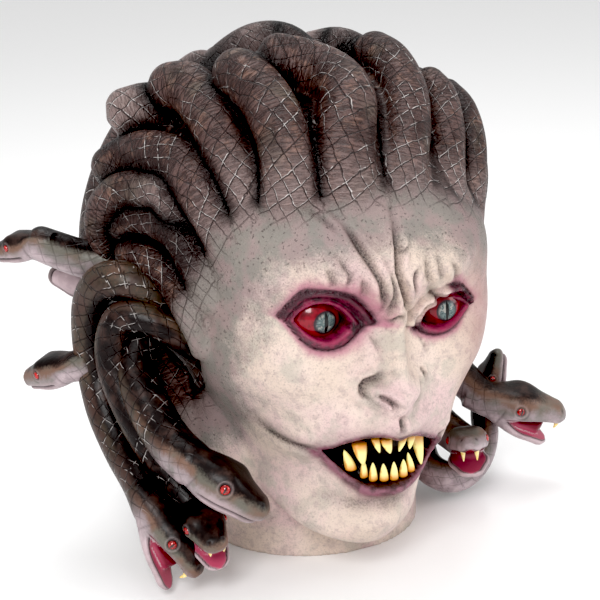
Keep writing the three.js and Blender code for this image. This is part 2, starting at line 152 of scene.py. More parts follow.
head_half_width = curve_through([
    (chin_height, 4), (22, 13), (26, 22), (31, 32), (38, 40), (50, 49), (71, 60), (84, 66), (103, 75),
    (113, 78), (130, 80), (150, 79), (186, 80), (216, 74), (246, 52), (crown_height, 18),
])
head_front = curve_through([
    (chin_height, -70), (22, -77), (26, -81), (33, -84), (50, -82), (62, -85), (74, -88), (94, -91),
    (120, -88), (146, -87), (172, -88), (190, -79), (205, -68), (231, -46), (246, -30), (crown_height, 2),
])
head_back = curve_through([
    (chin_height, -58), (22, -54), (27, -42), (33, -18), (40, 20), (52, 54), (71, 76), (84, 88),
    (103, 96), (146, 100), (186, 104), (216, 98), (246, 75), (crown_height, 36),
])
head_squareness = curve_through([
    (chin_height, 2), (27, 1.8), (42, 1.75), (52, 1.75), (71, 1.8), (84, 1.9), (103, 2.2),
    (113, 2.5), (130, 2.7), (166, 2.7), (190, 2.5), (216, 2.2), (crown_height, 2),
])
# The sculpted face isn't quite symmetric: its jaw and its midline wander to the mask's right
head_lean = curve_through([
    (chin_height, -14), (28, -14.5), (34, -12.5), (41, -9.5), (50, -6), (62, -3), (90, -1.5), (112, 0),
    (130, 1.5), (180, 1.5), (205, 0), (crown_height, 0),
])
face_midline = curve_through([
    (22, -14), (36, -13.5), (48, -12), (60, -9.5), (75, -8), (92, -8.8), (107, -8.8), (125, -6), (148, -4),
    (172, -5), (190, -1), (205, 0),
])

nose_ridge = curve_through([
    (84, 0), (90, 6.5), (95, 5.5), (98, 8), (102, 14), (108, 17.5), (114, 16), (127, 12.5), (140, 9.5),
    (149, 8), (158, 5.5), (170, 3), (190, 0),
])
nose_half_width = curve_through([
    (84, 16), (92, 13), (98, 10), (107, 10), (120, 8), (149, 6.5), (165, 8), (190, 10),
])
nose_side = -1


class Eye:
    """Where an eye's almond opening lies: its middle, half-length, reach up and down, outward rise."""

    def __init__(self, hand, x, z, half_length, up, down, rise):
        self.hand = hand
        self.x = x
        self.z = z
        self.half_length = half_length
        self.up = up
        self.down = down
        self.rise = rise

    def outside(self, x, z):
        """Millimetres outside the opening's edge, with the places outwards and upwards of its middle."""
        u = (x - self.x) * self.hand
        v = z - self.z - self.rise * u
        reach = np.where(v > 0, self.up, self.down)
        level = np.abs(v) / reach + np.abs(u / self.half_length) ** 2 - 1
        slope = np.hypot(2 * u / self.half_length ** 2, 1 / reach)
        blunt = 1 + 0.6 * ease(u, 0.6 * self.half_length, 1.4 * self.half_length)
        return level / np.maximum(slope, 0.07) * np.where(level > 0, blunt, 1), u, v


near_eye = Eye(-1, -34.4, 146.6, 13.2, 9.2, 8.8, 0.13)
far_eye = Eye(1, 32, 141, 15, 6.6, 6.6, 0.05)
mouth_half_width = 31
upper_lip_edge = curve_through([
    (-31, 76), (-27.5, 77.5), (-24, 80), (-20, 82), (-16.5, 84), (-13, 85.5), (-9.5, 86.2), (-4.6, 84.7),
    (0.7, 81.6), (3.2, 81.1), (6.2, 82.3), (9.7, 82.2), (16, 80), (23.5, 76), (31, 72),
])
lower_lip_edge = curve_through([
    (-31, 76), (-26.3, 70.5), (-22, 66.2), (-18.4, 62.5), (-14.4, 59.5), (-10.9, 57), (-7.6, 55.6),
    (-3, 54.9), (2, 54.5), (6.6, 54.4), (12.7, 54.3), (17, 55), (22, 57.5), (27, 62), (31, 72),
])


def face_form(head_x, z):
    """How far the big forms of the face stand out from the plain head."""
    x = head_x - face_midline(z)
    side = np.abs(x)
    nose = nose_ridge(z) * np.exp(-(np.abs(x - nose_side) / nose_half_width(z)) ** 2.4)
    wings = 7.5 * mound(np.abs(x - nose_side) - 11.5, 5.5) * mound(z - 111, 7)
    brow = 7.5 * mound(side - 31, 20) * mound(z + 0.06 * x - 163 - 0.24 * side, 8.5)
    brow_root = 4.5 * mound(side - 9, 6) * mound(z - 164, 14)
    sockets = -8.5 * mound(side - 34, 19) * mound(z + 0.09 * x - 144, 13)
    cheekbones = 4.5 * mound(side - 48, 18) * mound(z - 121, 17)
    muzzle = 6 * mound(side, 27) * mound(z - 90, 10)
    lower_lip = 4 * mound(side, 24) * mound(z - 54, 6)
    smile = 4 * mound(side - mouth_half_width - 6, 9) * mound(z - 82, 14)
    chin = 3.5 * mound(side, 15) * mound(z - 35, 8)
    return nose + wings + brow + brow_root + sockets + cheekbones + muzzle + lower_lip + smile + chin


def face_surface(x, z):
    """How far forward the face lies at (x, z)."""
    front = head_front(z)
    middle = (front + head_back(z)) / 2
    across = np.clip(np.abs(x - head_lean(z)) / head_half_width(z), 0, 0.985)
    square = head_squareness(z)
    return middle - (middle - front) * (1 - across ** square) ** (1 / square) - face_form(x, z)


def head_points(turn, rise, inset, front_inset):
    """Points of the head form; turn runs once round from the front, rise from crown to chin."""
    z = crown_height - inset + (chin_height - crown_height + 2 * inset) * rise
    wrapped = np.where(turn > 0.5, turn - 1, turn) * 2
    angle = np.pi * wrapped * (0.5 + 0.5 * wrapped ** 2)
    front = head_front(z) + front_inset
    back = head_back(z) - inset
    middle = (front + back) / 2
    power = 2 / head_squareness(z)
    across = np.sign(np.sin(angle)) * np.abs(np.sin(angle)) ** power
    forward = np.sign(np.cos(angle)) * np.abs(np.cos(angle)) ** power
    pole = np.where((rise == 0) | (rise == 1), 0, 1)
    x = (head_half_width(z) - inset) * across * pole + head_lean(z)
    y = middle - (middle - front) * forward * pole
    facing = ease(np.cos(angle), -0.1, 0.35) * pole * (inset == 0)
    return np.stack([x, y - face_form(x, z) * facing, z], axis=1)


def formed_sphere(name, columns, rings, place):
    """A sphere whose vertices are laid in a new form: place(turn, rise) gives their points in mm."""
    bpy.ops.object.select_all(action="DESELECT")
    bpy.ops.mesh.primitive_uv_sphere_add(segments=columns, ring_count=rings, radius=1)
    piece = bpy.context.object
    piece.name = name
    at = vertex_places(piece, 1)
    turn = np.round((np.arctan2(at[:, 1], at[:, 0]) / (2 * np.pi)) % 1 * columns) % columns / columns
    rise = np.round(np.arccos(np.clip(at[:, 2], -1, 1)) / np.pi * rings) / rings
    set_vertex_places(piece, place(turn, rise))
    return piece


def vertex_places(piece, unit=MM):
    """The vertices of a piece, in millimetres from the face form's own zero unless unit is 1."""
    at = np.empty(len(piece.data.vertices) * 3)
    piece.data.vertices.foreach_get("co", at)
    at = at.reshape(-1, 3) / unit
    return at if unit == 1 else at - SHIFT


def set_vertex_places(piece, points):
    piece.data.vertices.foreach_set("co", ((points + SHIFT) * MM).ravel())
    piece.data.update()


def vertex_normals(piece):
    normals = np.empty(len(piece.data.vertices) * 3)
    piece.data.vertex_normals.foreach_get("vector", normals)
    return normals.reshape(-1, 3)


def smooth_line(stops, spacing):
    """Points every spacing mm along a smooth line through stops."""
    stops = np.array(stops, float)
    ends = np.vstack([2 * stops[0] - stops[1], stops, 2 * stops[-1] - stops[-2]])
    points = []
    for before, start, end, after in zip(ends, ends[1:], ends[2:], ends[3:]):
        for t in np.linspace(0, 1, 24, endpoint=False):
            points.append(0.5 * (2 * start + (end - before) * t
                                 + (2 * before - 5 * start + 4 * end - after) * t * t
                                 + (3 * start - before - 3 * end + after) * t ** 3))
    points = np.array(points + [stops[-1]])
    travelled = np.concatenate([[0], np.cumsum(np.linalg.norm(np.diff(points, axis=0), axis=1))])
    steps = np.linspace(0, travelled[-1], max(4, round(travelled[-1] / spacing)) + 1)
    return np.stack([np.interp(steps, travelled, points[:, k]) for k in range(3)], axis=1), steps


def cross_frames(line, last_up=None):
    """Directions along, up and aside at each point of a line, carried without twist from its end."""
    along = np.gradient(line, axis=0)
    along /= np.linalg.norm(along, axis=1)[:, None]
    up = np.array(last_up if last_up is not None else (0.0, 0.3, 1.0), float)
    ups = np.empty_like(line)
    for i in range(len(line) - 1, -1, -1):
        up = up - along[i] * (up @ along[i])
        up = up / np.linalg.norm(up)
        ups[i] = up
    return along, ups, np.cross(along, ups)


def radii_along(girth, share):
    """Radius at a share of a route's length; the girth's radii are spread evenly from start to end."""
    return np.interp(share, np.linspace(0, 1, len(girth)), girth)


def swept_body(name, route, girth, columns=28, spacing=3.0, last_up=None):
    """A round body along a route, its ends rounded off; girth gives radii from start to end."""
    line, _ = smooth_line(route, spacing)
    along, ups, asides = cross_frames(line, last_up)
    end_steps = 4
    cap_length = 0.85
    rings = len(line) + 2 * end_steps - 1

    def place(turn, rise):
        row = np.round(rise * rings).astype(int)
        at = np.clip((row - end_steps) / (rings - 2 * end_steps), 0, 1)
        cap = np.clip(np.minimum(row, rings - row) / end_steps, 0, 1)
        radius = radii_along(girth, at) * np.sqrt(np.clip(1 - (1 - cap) ** 2, 0, 1))
        beyond = (1 - cap) * np.where(row < rings / 2, -girth[0], girth[-1]) * cap_length
        index = np.clip(at * (len(line) - 1), 0, len(line) - 1)
        low = np.floor(index).astype(int)
        high = np.minimum(low + 1, len(line) - 1)
        part = (index - low)[:, None]
        middle, onward, upward, sideward = (
            values[low] * (1 - part) + values[high] * part for values in (line, along, ups, asides))
        angle = 2 * np.pi * turn
        ring = upward * np.cos(angle)[:, None] + sideward * np.sin(angle)[:, None]
        return middle + onward * beyond[:, None] + ring * radius[:, None]

    return formed_sphere(name, columns, rings, place)


def join(pieces, name):
    bpy.ops.object.select_all(action="DESELECT")
    for piece in pieces:
        piece.select_set(True)
    bpy.context.view_layer.objects.active = pieces[0]
    bpy.ops.object.join()
    pieces[0].name = name
    pieces[0].data.name = name
    return pieces[0]


def finish_with(piece, kind, **settings):
    """Adds a modifier with its settings and applies it."""
    bpy.ops.object.select_all(action="DESELECT")
    piece.select_set(True)
    bpy.context.view_layer.objects.active = piece
    modifier = piece.modifiers.new(kind.lower(), kind)
    for setting, value in settings.items():
        setattr(modifier, setting, value)
    bpy.ops.object.modifier_apply(modifier=modifier.name)


# Routes of the scalp coils' middle lines, each with its radii at root and tip
right_coils = [
    ([(-54, -32, 196), (-56, -27, 209), (-58, -14, 225), (-58, 6, 241), (-60, 26, 251), (-65, 38, 250)],
     (13, 14)),
    ([(-64, -28, 176), (-69, -23, 191), (-74, -13, 206), (-77, 6, 217), (-84, 26, 219), (-90, 40, 215),
      (-98, 46, 209)], (12.5, 13)),
    ([(-83, -4, 189), (-87, 2, 202), (-93, 14, 203), (-101, 26, 202), (-107, 36, 192), (-107, 42, 179),
      (-101, 44, 165)], (9, 10.5)),
    ([(-73, -20, 149), (-79, -16, 166), (-84, -8, 181), (-89, 6, 187), (-95, 22, 187), (-100, 32, 181)],
     (9.5, 9)),
    ([(-76, -14, 123), (-83, -12, 143), (-88, -4, 158), (-94, 8, 167), (-99, 26, 168)], (9, 9)),
    ([(-72, 8, 46), (-78, 14, 66), (-82, 20, 88), (-86, 26, 110), (-88, 34, 132)], (5, 15)),
]
crown_coils = [
    ([(-41, -52, 198), (-39, -46, 218), (-38, -36, 236), (-39, -22, 250), (-42, -6, 259), (-43, 2, 260)],
     (14, 14)),
    ([(-14, -58, 194), (-12, -54, 216), (-6, -46, 235), (0, -36, 248), (0, -22, 256), (-9, -10, 262),
      (-22, -2, 266)], (16.5, 14)),
    ([(17, -62, 191), (22, -54, 211), (32, -42, 229), (40, -26, 245), (43, -6, 257), (42, 10, 261)],
     (12.5, 12)),
    ([(50, -54, 182), (54, -44, 204), (63, -30, 223), (69, -14, 237), (70, 0, 243)], (10.5, 9)),
    ([(68, -42, 175), (75, -34, 196), (81, -24, 214), (84, -10, 228), (83, 4, 235)], (9, 8.5)),
    ([(84, -20, 156), (91, -14, 176), (95, -7, 192), (97, 6, 206)], (3, 9)),
    ([(-38, 50, 245), (-26, 48, 257), (-12, 44, 265), (0, 36, 265), (8, 26, 256)], (13.5, 13.5)),
    ([(19, 38, 259), (32, 32, 261), (41, 22, 256)], (12.5, 12)),
    ([(64, 12, 241), (75, 8, 235), (86, 8, 226), (95, 10, 211)], (11, 11)),
    ([(-86, 51, 237), (-75, 47, 240), (-63, 44, 237)], (13.8, 12)),
]
left_coils = [
    ([(74, -4, 150), (86, 6, 176), (92, 14, 194), (94, 34, 198), (98, 46, 184), (96, 54, 166)], (11, 12)),
    ([(70, 2, 118), (82, 2, 140), (92, 12, 158), (97, 28, 164), (97, 40, 150)], (10.5, 11)),
]

hair_half_width, hair_half_depth, hair_half_height = 98, 72, 92
hair_middle_y, hair_middle_z = 46, 162


def back_strand(azimuth, sway):
    """A strand that leaves the crown and weaves down the back of the scalp to the nape."""
    route = []
    for i in range(6):
        elevation = math.radians(66 - 108 * i / 5)
        turn = math.radians(azimuth + sway * math.sin(i / 5 * 2 * math.pi))
        route.append((
            hair_half_width * math.sin(turn) * math.cos(elevation),
            hair_middle_y - hair_half_depth * math.cos(turn) * math.cos(elevation),
            hair_middle_z + hair_half_height * math.sin(elevation),
        ))
    return route


back_coils = [
    (back_strand(azimuth, sway), (19, 19))
    for azimuth, sway in ((118, 7), (159, -7), (201, 7), (242, -7))
]
scalp_coils = right_coils + crown_coils + left_coils + back_coils


def hair_mass_points(turn, rise):
    angle = 2 * np.pi * turn
    level = np.pi * rise
    return np.stack([
        hair_half_width * np.sin(level) * np.cos(angle),
        hair_middle_y + hair_half_depth * np.sin(level) * np.sin(angle),
        hair_middle_z + hair_half_height * np.cos(level),
    ], axis=1)


neck_left, neck_front, neck_back, neck_top = 58, -42, 82, 104
neck_right = curve_through([(-10, 62), (8, 64), (38, 69), (70, 76), (neck_top, 76)])


def neck_points(inset, bottom):
    """Points of the neck, which is fuller on the mask's right, below its snakes."""
    def place(turn, rise):
        angle = 2 * np.pi * turn
        reach = np.where((rise == 0) | (rise == 1), 0, 1)
        z = np.where(rise < 0.2, neck_top, bottom + (neck_top - bottom) * (1 - (rise - 0.2) / 0.6))
        z = np.where(rise > 0.8, bottom, z)
        half_width = np.where(np.cos(angle) > 0, neck_left, neck_right(z)) - inset
        return np.stack([
            half_width * np.cos(angle) * reach,
            (neck_back + neck_front) / 2 + ((neck_back - neck_front) / 2 - inset) * np.sin(angle) * reach,
            z,
        ], axis=1)
    return place


mask_parts = [
    formed_sphere("head", 300, 200, lambda turn, rise: head_points(turn, rise, 0, 0)),
    formed_sphere("neck", 72, 20, neck_points(0, 0)),
    formed_sphere("hair_mass", 64, 48, hair_mass_points),
]
for route, girth in scalp_coils:
    mask_parts.append(swept_body("coil", route, girth))
mask = join(mask_parts, "latex_skin")
finish_with(mask, "REMESH", mode="VOXEL", voxel_size=0.0013, use_smooth_shade=True)

# Coil roots melt into the forehead, and the cheek and neck behind the lower right snakes are evened
# out; elsewhere only the voxel steps are smoothed away
points = vertex_places(mask)
near_root = np.zeros(len(points))
for melt, coils in ((1.2, right_coils), (1.9, crown_coils[:6])):
    for route, girth in coils:
        near_root = np.maximum(near_root, mound(np.linalg.norm(points - route[0], axis=1), melt * girth[0]))
under_snakes = ease(-points[:, 0], 42, 56) * ease(points[:, 2], 14, 26) * (1 - ease(points[:, 2], 92, 112))
near_root = np.maximum(near_root, under_snakes * (1 - ease(points[:, 1], 10, 26)))
hairline = mask.vertex_groups.new(name="hairline")
for index in np.nonzero(near_root > 0.1)[0]:
    hairline.add([int(index)], float(near_root[index]), "REPLACE")
finish_with(mask, "SMOOTH", factor=0.5, iterations=40, vertex_group="hairline")
finish_with(mask, "SMOOTH", factor=0.5, iterations=2)


def line_distance(x, z, stops):
    """Distance from each (x, z) to an open line through stops, and how far along it lies, 0 to 1."""
    stops = np.array(stops, float)
    nearest = np.full(x.shape, 1e9)
    share = np.zeros(x.shape)
    pieces = len(stops) - 1
    for i, (start, end) in enumerate(zip(stops, stops[1:])):
        step = end - start
        t = np.clip(((x - start[0]) * step[0] + (z - start[1]) * step[1]) / (step @ step), 0, 1)
        distance = np.hypot(x - start[0] - t * step[0], z - start[1] - t * step[1])
        closer = distance < nearest
        nearest = np.where(closer, distance, nearest)
        share = np.where(closer, (i + t) / pieces, share)
    return nearest, share


# Furrows carved in the face: stops in (x, z) from its midline, depth before it is deepened, half-width
furrows = [
    ([(3.5, 198), (3, 190), (2.3, 184), (1.8, 180), (1, 175), (0, 170.5), (0.2, 166), (1.3, 160),
      (2.7, 154.5), (6.5, 148.5), (11.5, 144)], 2.6, 1.5),
    ([(-28, 200), (-23.3, 193), (-20.8, 188.5), (-18, 183.5), (-14.6, 178), (-12, 173), (-10.3, 167.5),
      (-9.5, 162.5), (-8.1, 156), (-8.5, 151), (-11, 148)], 1.8, 1.5),
    ([(-5.5, 176), (-4.9, 170), (-4.8, 166), (-4.5, 161), (-4.8, 155.5), (-6, 151), (-8, 146.5)], 1.6, 1.2),
    ([(-8, 146.5), (-4.9, 146), (-2.5, 148.5), (0, 148), (2, 145.5)], 1.3, 1.0),
    ([(0.8, 176.5), (3.6, 179), (6.3, 180), (10.5, 181)], 0.9, 1.0),
    ([(9.8, 155), (8.2, 161), (7.7, 165.5), (9.5, 168.5), (13.5, 171)], 1.4, 1.0),
    ([(20, 158), (23.7, 154), (28, 149.5), (32.5, 147.5), (40, 148.5), (47, 147)], 2.2, 1.6),
    ([(31, 172), (35, 165), (38.5, 157)], 0.9, 1.4),
    ([(19, 176), (17, 168), (19, 160)], 0.9, 1.5),
    ([(25, 177), (24, 168), (26, 161)], 0.8, 1.5),
    ([(-36, 178), (-33.5, 171), (-31.5, 166)], 0.9, 1.5),
    ([(-30, 181), (-25, 173), (-26.5, 166)], 1.0, 1.5),
    ([(-19, 171), (-17.5, 165), (-17, 159)], 0.9, 1.6),
    ([(-40, 203), (-33, 197), (-26, 189)], 0.7, 1.4),
    ([(-31, 77), (-36, 76.5), (-42, 78), (-49, 83), (-56, 91), (-60, 99)], 2.0, 2.0),
    ([(31, 73), (38, 75), (45, 80)], 1.8, 2.0),
    ([(-24, 49.5), (-16, 46.5), (-10, 45.5), (-3, 46.5), (5, 45.8), (13, 45), (20, 46.5)], 0.8, 3.2),
    ([(-5.5, 120.7), (-8.2, 120), (-10.3, 118), (-12.7, 117), (-15.5, 116), (-17, 114), (-17, 111),
      (-16, 109), (-14.3, 107.5), (-11, 105.5)], 1.9, 1.3),
    ([(-13.3, 110.6), (-11, 110), (-8.3, 108.6), (-6.2, 107), (-5.1, 105), (-4.9, 102.5)], 2.4, 1.3),
    ([(16.3, 117.5), (18.5, 114.5), (21, 110.5)], 1.3, 0.7),
    ([(11, 101), (13, 104), (15, 108), (15, 113)], 0.8, 1.5),
    ([(0.2, 97.5), (0, 93), (-0.5, 88.8)], 1.8, 1.2),
    ([(14, 136), (18, 130), (22, 122)], 0.6, 0.8),
    ([(-13, 139), (-10, 134), (-9, 128)], 0.6, 0.8),
]
furrow_deepening = 1.8
furrow_rim_rise = 1.2
eye_opening_depth = 9.5
mouth_opening_depth = 11


def mouth_place(x, z):
    """Millimetres outside the mouth opening's edge, and whether the lower lip is the nearer one."""
    within = np.clip(x, -mouth_half_width, mouth_half_width)
    above = z - upper_lip_edge(within)
    below = lower_lip_edge(within) - z
    corner_z = np.where(x > 0, 72, 76)
    beyond = np.hypot(x - within, z - corner_z)
    gap = np.where(np.abs(x) > mouth_half_width, beyond, np.maximum(above, below) * 0.85)
    return gap, below > above


def carve_face(points, facing):
    """Pushes and pulls the face's skin for its fine forms; returns the new points and paint masks."""
    z = points[:, 2]
    x = points[:, 0] - face_midline(z)
    lift = np.zeros(len(points))
    # Painted shade along the carved furrows, strongest where they are deepest
    furrow_shade = np.zeros(len(points))
    for stops, depth, half_width in furrows:
        distance, share = line_distance(x, z, stops)
        fade = np.clip(4 * share, 0.3, 1) * np.clip(4 * (1 - share), 0.3, 1)
        lift -= furrow_deepening * depth * fade * mound(distance, half_width)
        lift += furrow_rim_rise * depth * fade * mound(distance - 2.6 * half_width, 1.7 * half_width)
        furrow_shade = np.maximum(furrow_shade, fade * mound(distance, half_width) * min(depth / 1.3, 1))
    names = ("wine", "crust_and_crease_shade", "waterline", "blush", "hole", "lid_edge")
    masks = {name: np.zeros(len(points)) for name in names}

    def spread(name, amount):
        masks[name] = np.maximum(masks[name], amount)

    for eye in (near_eye, far_eye):
        gap, u, v = eye.outside(x, z)
        lower = ease(-v, -1.5, 2.5)
        tucked = (1 - lower) * ease(-u, -5, 1) if eye is far_eye else 0
        lid = gap * (1 + (1.0 if eye is far_eye else 0.6) * lower)
        lift += np.where(gap < 0, -eye_opening_depth * ease(-gap, -0.4, 1.6), 0)
        lift += 2.6 * mound(gap - 1.5, 1.3)
        lift -= 1.6 * (1 - lower) * mound(gap - 3.8, 0.8)
        lift += (1.6 + 1.6 * (1 - lower)) * mound(lid - 6.0, 1.7)
        lift -= 1.6 * mound(lid - 8.6, 0.9)
        lift += 1.5 * tucked * mound(gap - 4, 3)
        spread("wine", ease(-lid, -9.6, -7.6) * (1 - tucked * ease(gap, 0.5, 2)))
        spread("lid_edge", ease(lid, 3, 7.5) * ease(-lid, -11, -9))
        spread("waterline", mound(gap - 1.4, 1.1) * (0.55 + 0.45 * lower))
        # The carved crease over each upper lid is darkened with the crust: painted shade in the crease
        crease = 0.7 * (1 - lower) * (1 - tucked) * mound(gap - 3.8, 0.6)
        spread("crust_and_crease_shade", np.maximum(mound(lid - 8.3, 1.2) * (1 - tucked), crease))
        tear = np.hypot(u + eye.half_length + 2.5, 1.3 * (v + 2))
        spread("crust_and_crease_shade", 0.95 * ease(-tear, -6, -2.5))
        spread("blush", mound(np.maximum(lid - 7, 0), 7.5) * (1 - 0.85 * tucked))
        spread("hole", ease(-gap, -0.1, 1.0))
    gap, on_lower = mouth_place(x, z)
    lift += np.where(gap < 0, -mouth_opening_depth * ease(-gap, -0.2, 1.8), 0)
    lift += np.where(on_lower, 2.4 * mound(gap - 2.8, 2.6), 1.4 * mound(gap - 1.4, 1.5))
    masks["lips"] = np.where(on_lower, ease(-gap, -6.5, -3.2), ease(-gap, -3.8, -1.6))
    masks["lip_shadow"] = mound(np.maximum(gap, 0), 7)
    masks["mouth"] = ease(-gap, -0.8, 0.6)
    masks["furrow_shade"] = furrow_shade
    new = points.copy()
    new[:, 1] -= lift * facing
    return new, {name: mask_value * facing for name, mask_value in masks.items()}


def front_of_face(points, normals, low, high):
    """1 where the skin faces forward on the front of the head, below the scalp, and 0 elsewhere."""
    return ease(-normals[:, 1], low, high) * ease(-points[:, 1], 38, 48) * ease(-points[:, 2], -206, -196)


points = vertex_places(mask)
facing = front_of_face(points, vertex_normals(mask), 0.15, 0.5)
points, _ = carve_face(points, facing)
set_vertex_places(mask, points)
most_triangles = 185000
triangles = sum(len(face.vertices) - 2 for face in mask.data.polygons)
finish_with(mask, "DECIMATE", ratio=min(1.0, most_triangles / triangles))

skin_thickness = 4
behind_face = 24
below_rim = -5
hollow = join([
    formed_sphere("hollow_head", 60, 30,
                  lambda turn, rise: head_points(turn, rise, skin_thickness, behind_face)),
    formed_sphere("hollow_neck", 60, 20, neck_points(skin_thickness, below_rim)),
], "hollow")
finish_with(hollow, "REMESH", mode="VOXEL", voxel_size=0.003, use_smooth_shade=True)
finish_with(hollow, "SMOOTH", factor=0.5, iterations=4)
finish_with(mask, "BOOLEAN", operation="DIFFERENCE", object=hollow, solver="MANIFOLD")
bpy.data.objects.remove(hollow)


def coil_lines(coils, spacing, before_root):
    """Sampled middle lines of coils, run on before their roots, with frames, lengths and radii."""
    samples = []
    for route, girth in coils:
        line, _ = smooth_line(route, spacing)
        start = line[0] - (line[1] - line[0]) / np.linalg.norm(line[1] - line[0]) * before_root
        line = np.vstack([start + (line[0] - start) * t for t in np.linspace(0, 0.95, 12)] + [line])
        _, ups, asides = cross_frames(line)
        length = np.concatenate([[0], np.cumsum(np.linalg.norm(np.diff(line, axis=0), axis=1))])
        radii = radii_along(girth, (length - before_root) / (length[-1] - before_root))
        samples.append((line, ups, asides, length - before_root, radii))
    return samples


def nearest_coil(points, samples):
    """For each point: gap to the nearest coil and to the next, distance along it, angle round it."""
    best = np.full(len(points), 1e9)
    second = np.full(len(points), 1e9)
    along = np.zeros(len(points))
    cosine = np.ones(len(points))
    sine = np.zeros(len(points))
    for line, ups, asides, length, radii in samples:
        gap = np.full(len(points), 1e9)
        index = np.zeros(len(points), int)
        for i, sample in enumerate(line):
            distance = np.linalg.norm(points - sample, axis=1) - radii[i]
            closer = distance < gap
            gap = np.where(closer, distance, gap)
            index = np.where(closer, i, index)
        offset = points - line[index]
        across_up = np.einsum("ij,ij->i", offset, ups[index])
        across_aside = np.einsum("ij,ij->i", offset, asides[index])
        forward = offset - ups[index] * across_up[:, None] - asides[index] * across_aside[:, None]
        step = np.gradient(line, axis=0)[index]
        step /= np.linalg.norm(step, axis=1)[:, None]
        place = length[index] + np.einsum("ij,ij->i", forward, step)
        reach = np.maximum(np.hypot(across_up, across_aside), 1e-6)
        closer = gap < best
        second = np.where(closer, best, np.minimum(second, gap))
        along = np.where(closer, place, along)
        cosine = np.where(closer, across_up / reach, cosine)
        sine = np.where(closer, across_aside / reach, sine)
        best = np.where(closer, gap, best)
    return best, second, along, cosine, sine


def store(piece, name, values):
    attribute = piece.data.attributes.new(name, "FLOAT", "POINT")
    attribute.data.foreach_set("value", np.asarray(values, np.float32))


points = vertex_places(mask)
facing = front_of_face(points, vertex_normals(mask), -0.3, 0.1)
_, paint = carve_face(points, facing)
for name, values in paint.items():
    store(mask, name, values)
best, second, along, cosine, sine = nearest_coil(points, coil_lines(scalp_coils, 2.5, 34))
# How far back the side hair starts at each height
hairline_y = curve_through([
    (0, 75), (50, 52), (72, 24), (86, 8), (97, 1), (110, 2), (120, -2), (146, -12), (166, -22),
    (185, -29), (200, -40),
])
into_top = points[:, 2] - 208 + 0.10 * np.abs(points[:, 0] + 4) + 0.4 * np.maximum(points[:, 0] - 28, 0)
into_side = 0.62 * (points[:, 1] - hairline_y(points[:, 2]))
store(mask, "hair_depth", np.clip(np.maximum(into_top, into_side), -90, 40))
# Painted shade, near black, in the creases between coils and on the hair mass showing between them; crest
# runs from 0 in those creases to 1 on the coils' tops
store(mask, "crease_shade", np.maximum(mound(second - best, 2.6) * (best < 4), 0.35 * ease(best, 2.5, 8)))
store(mask, "crest", np.maximum(ease(second - best, 1, 13) * (1 - ease(best, 1, 4)), 0.45 * ease(best, 3, 8)))
store(mask, "root_grey", (1 - ease(along, 4, 40)) * ease(points[:, 2], 168, 196))
store(mask, "jaw", ease(-points[:, 2], -75, -35) * facing)
store(mask, "far_side", ease(points[:, 0], 26, 56) * ease(points[:, 2], 20, 45))
store(mask, "along", along)
store(mask, "around_cos", cosine)
store(mask, "around_sin", sine)


class Shade:
    """A value in a material, so that shader maths reads as arithmetic."""

    def __init__(self, recipe, socket):
        self.recipe = recipe
        self.socket = socket

    def maths(self, operation, *others):
        inputs = dict(enumerate([self, *others]))
        return self.recipe.node("ShaderNodeMath", {"operation": operation}, inputs)

    def __add__(self, other):
        return self.maths("ADD", other)

    def __mul__(self, other):
        return self.maths("MULTIPLY", other)

    def __sub__(self, other):
        return self.maths("SUBTRACT", other)

    def __rsub__(self, other):
        return self.recipe.node("ShaderNodeMath", {"operation": "SUBTRACT"}, {0: other, 1: self})

    def __truediv__(self, other):
        return self.maths("DIVIDE", other)

    def __pow__(self, other):
        return self.maths("POWER", other)

    __radd__ = __add__
    __rmul__ = __mul__

    def least(self, other):
        return self.maths("MINIMUM", other)

    def most(self, other):
        return self.maths("MAXIMUM", other)

    def step(self, low, high):
        """0 below low and 1 above high, softly."""
        inputs = {"Value": self, "From Min": low, "From Max": high}
        return self.recipe.node("ShaderNodeMapRange", {"interpolation_type": "SMOOTHSTEP"}, inputs)


class Recipe:
    """A material and the nodes that make it."""

    def __init__(self, name):
        self.material = bpy.data.materials.new(name)
        self.material.use_nodes = True
        self.tree = self.material.node_tree
        self.shader = self.tree.nodes["Principled BSDF"]
        self.place = self.node("ShaderNodeTexCoord", {}, {}, "Object")

    def node(self, kind, settings, inputs, output=0):
        made = self.tree.nodes.new(kind)
        for setting, value in settings.items():
            setattr(made, setting, value)
        for key, value in inputs.items():
            self.feed(made.inputs[key], value)
        return Shade(self, made.outputs[output])

    def feed(self, socket, value):
        if isinstance(value, Shade):
            self.tree.links.new(value.socket, socket)
        elif isinstance(value, tuple) and len(value) == 3 and socket.type == "RGBA":
            socket.default_value = (*value, 1)
        else:
            socket.default_value = value

    def painted(self, name):
        """A mask or measure kept on the mesh."""
        return self.node("ShaderNodeAttribute", {"attribute_name": name}, {}, "Fac")

    def noise(self, size, detail=3.0, rough=0.5):
        """Mottling with lumps of about size mm."""
        inputs = {"Vector": self.place, "Scale": 1000 / size, "Detail": detail, "Roughness": rough}
        return self.node("ShaderNodeTexNoise", {}, inputs, "Fac")

    def mix(self, amount, first, second):
        made = self.node("ShaderNodeMix", {"data_type": "RGBA"}, {0: amount}, 2)
        for index, value in ((6, first), (7, second)):
            self.feed(made.socket.node.inputs[index], value)
        return made

    def coats(self, ground, *layers):
        """The ground colour under coats of paint, each an amount and a colour."""
        for amount, colour in layers:
            ground = self.mix(amount, ground, colour)
        return ground

    def surface(self, **inputs):
        for name, value in inputs.items():
            self.feed(self.shader.inputs[name.replace("_", " ")], value)

    def bumps(self, height, strength, distance):
        """Fine relief of distance mm."""
        inputs = {"Height": height, "Strength": strength, "Distance": distance * MM}
        return self.node("ShaderNodeBump", {}, inputs)


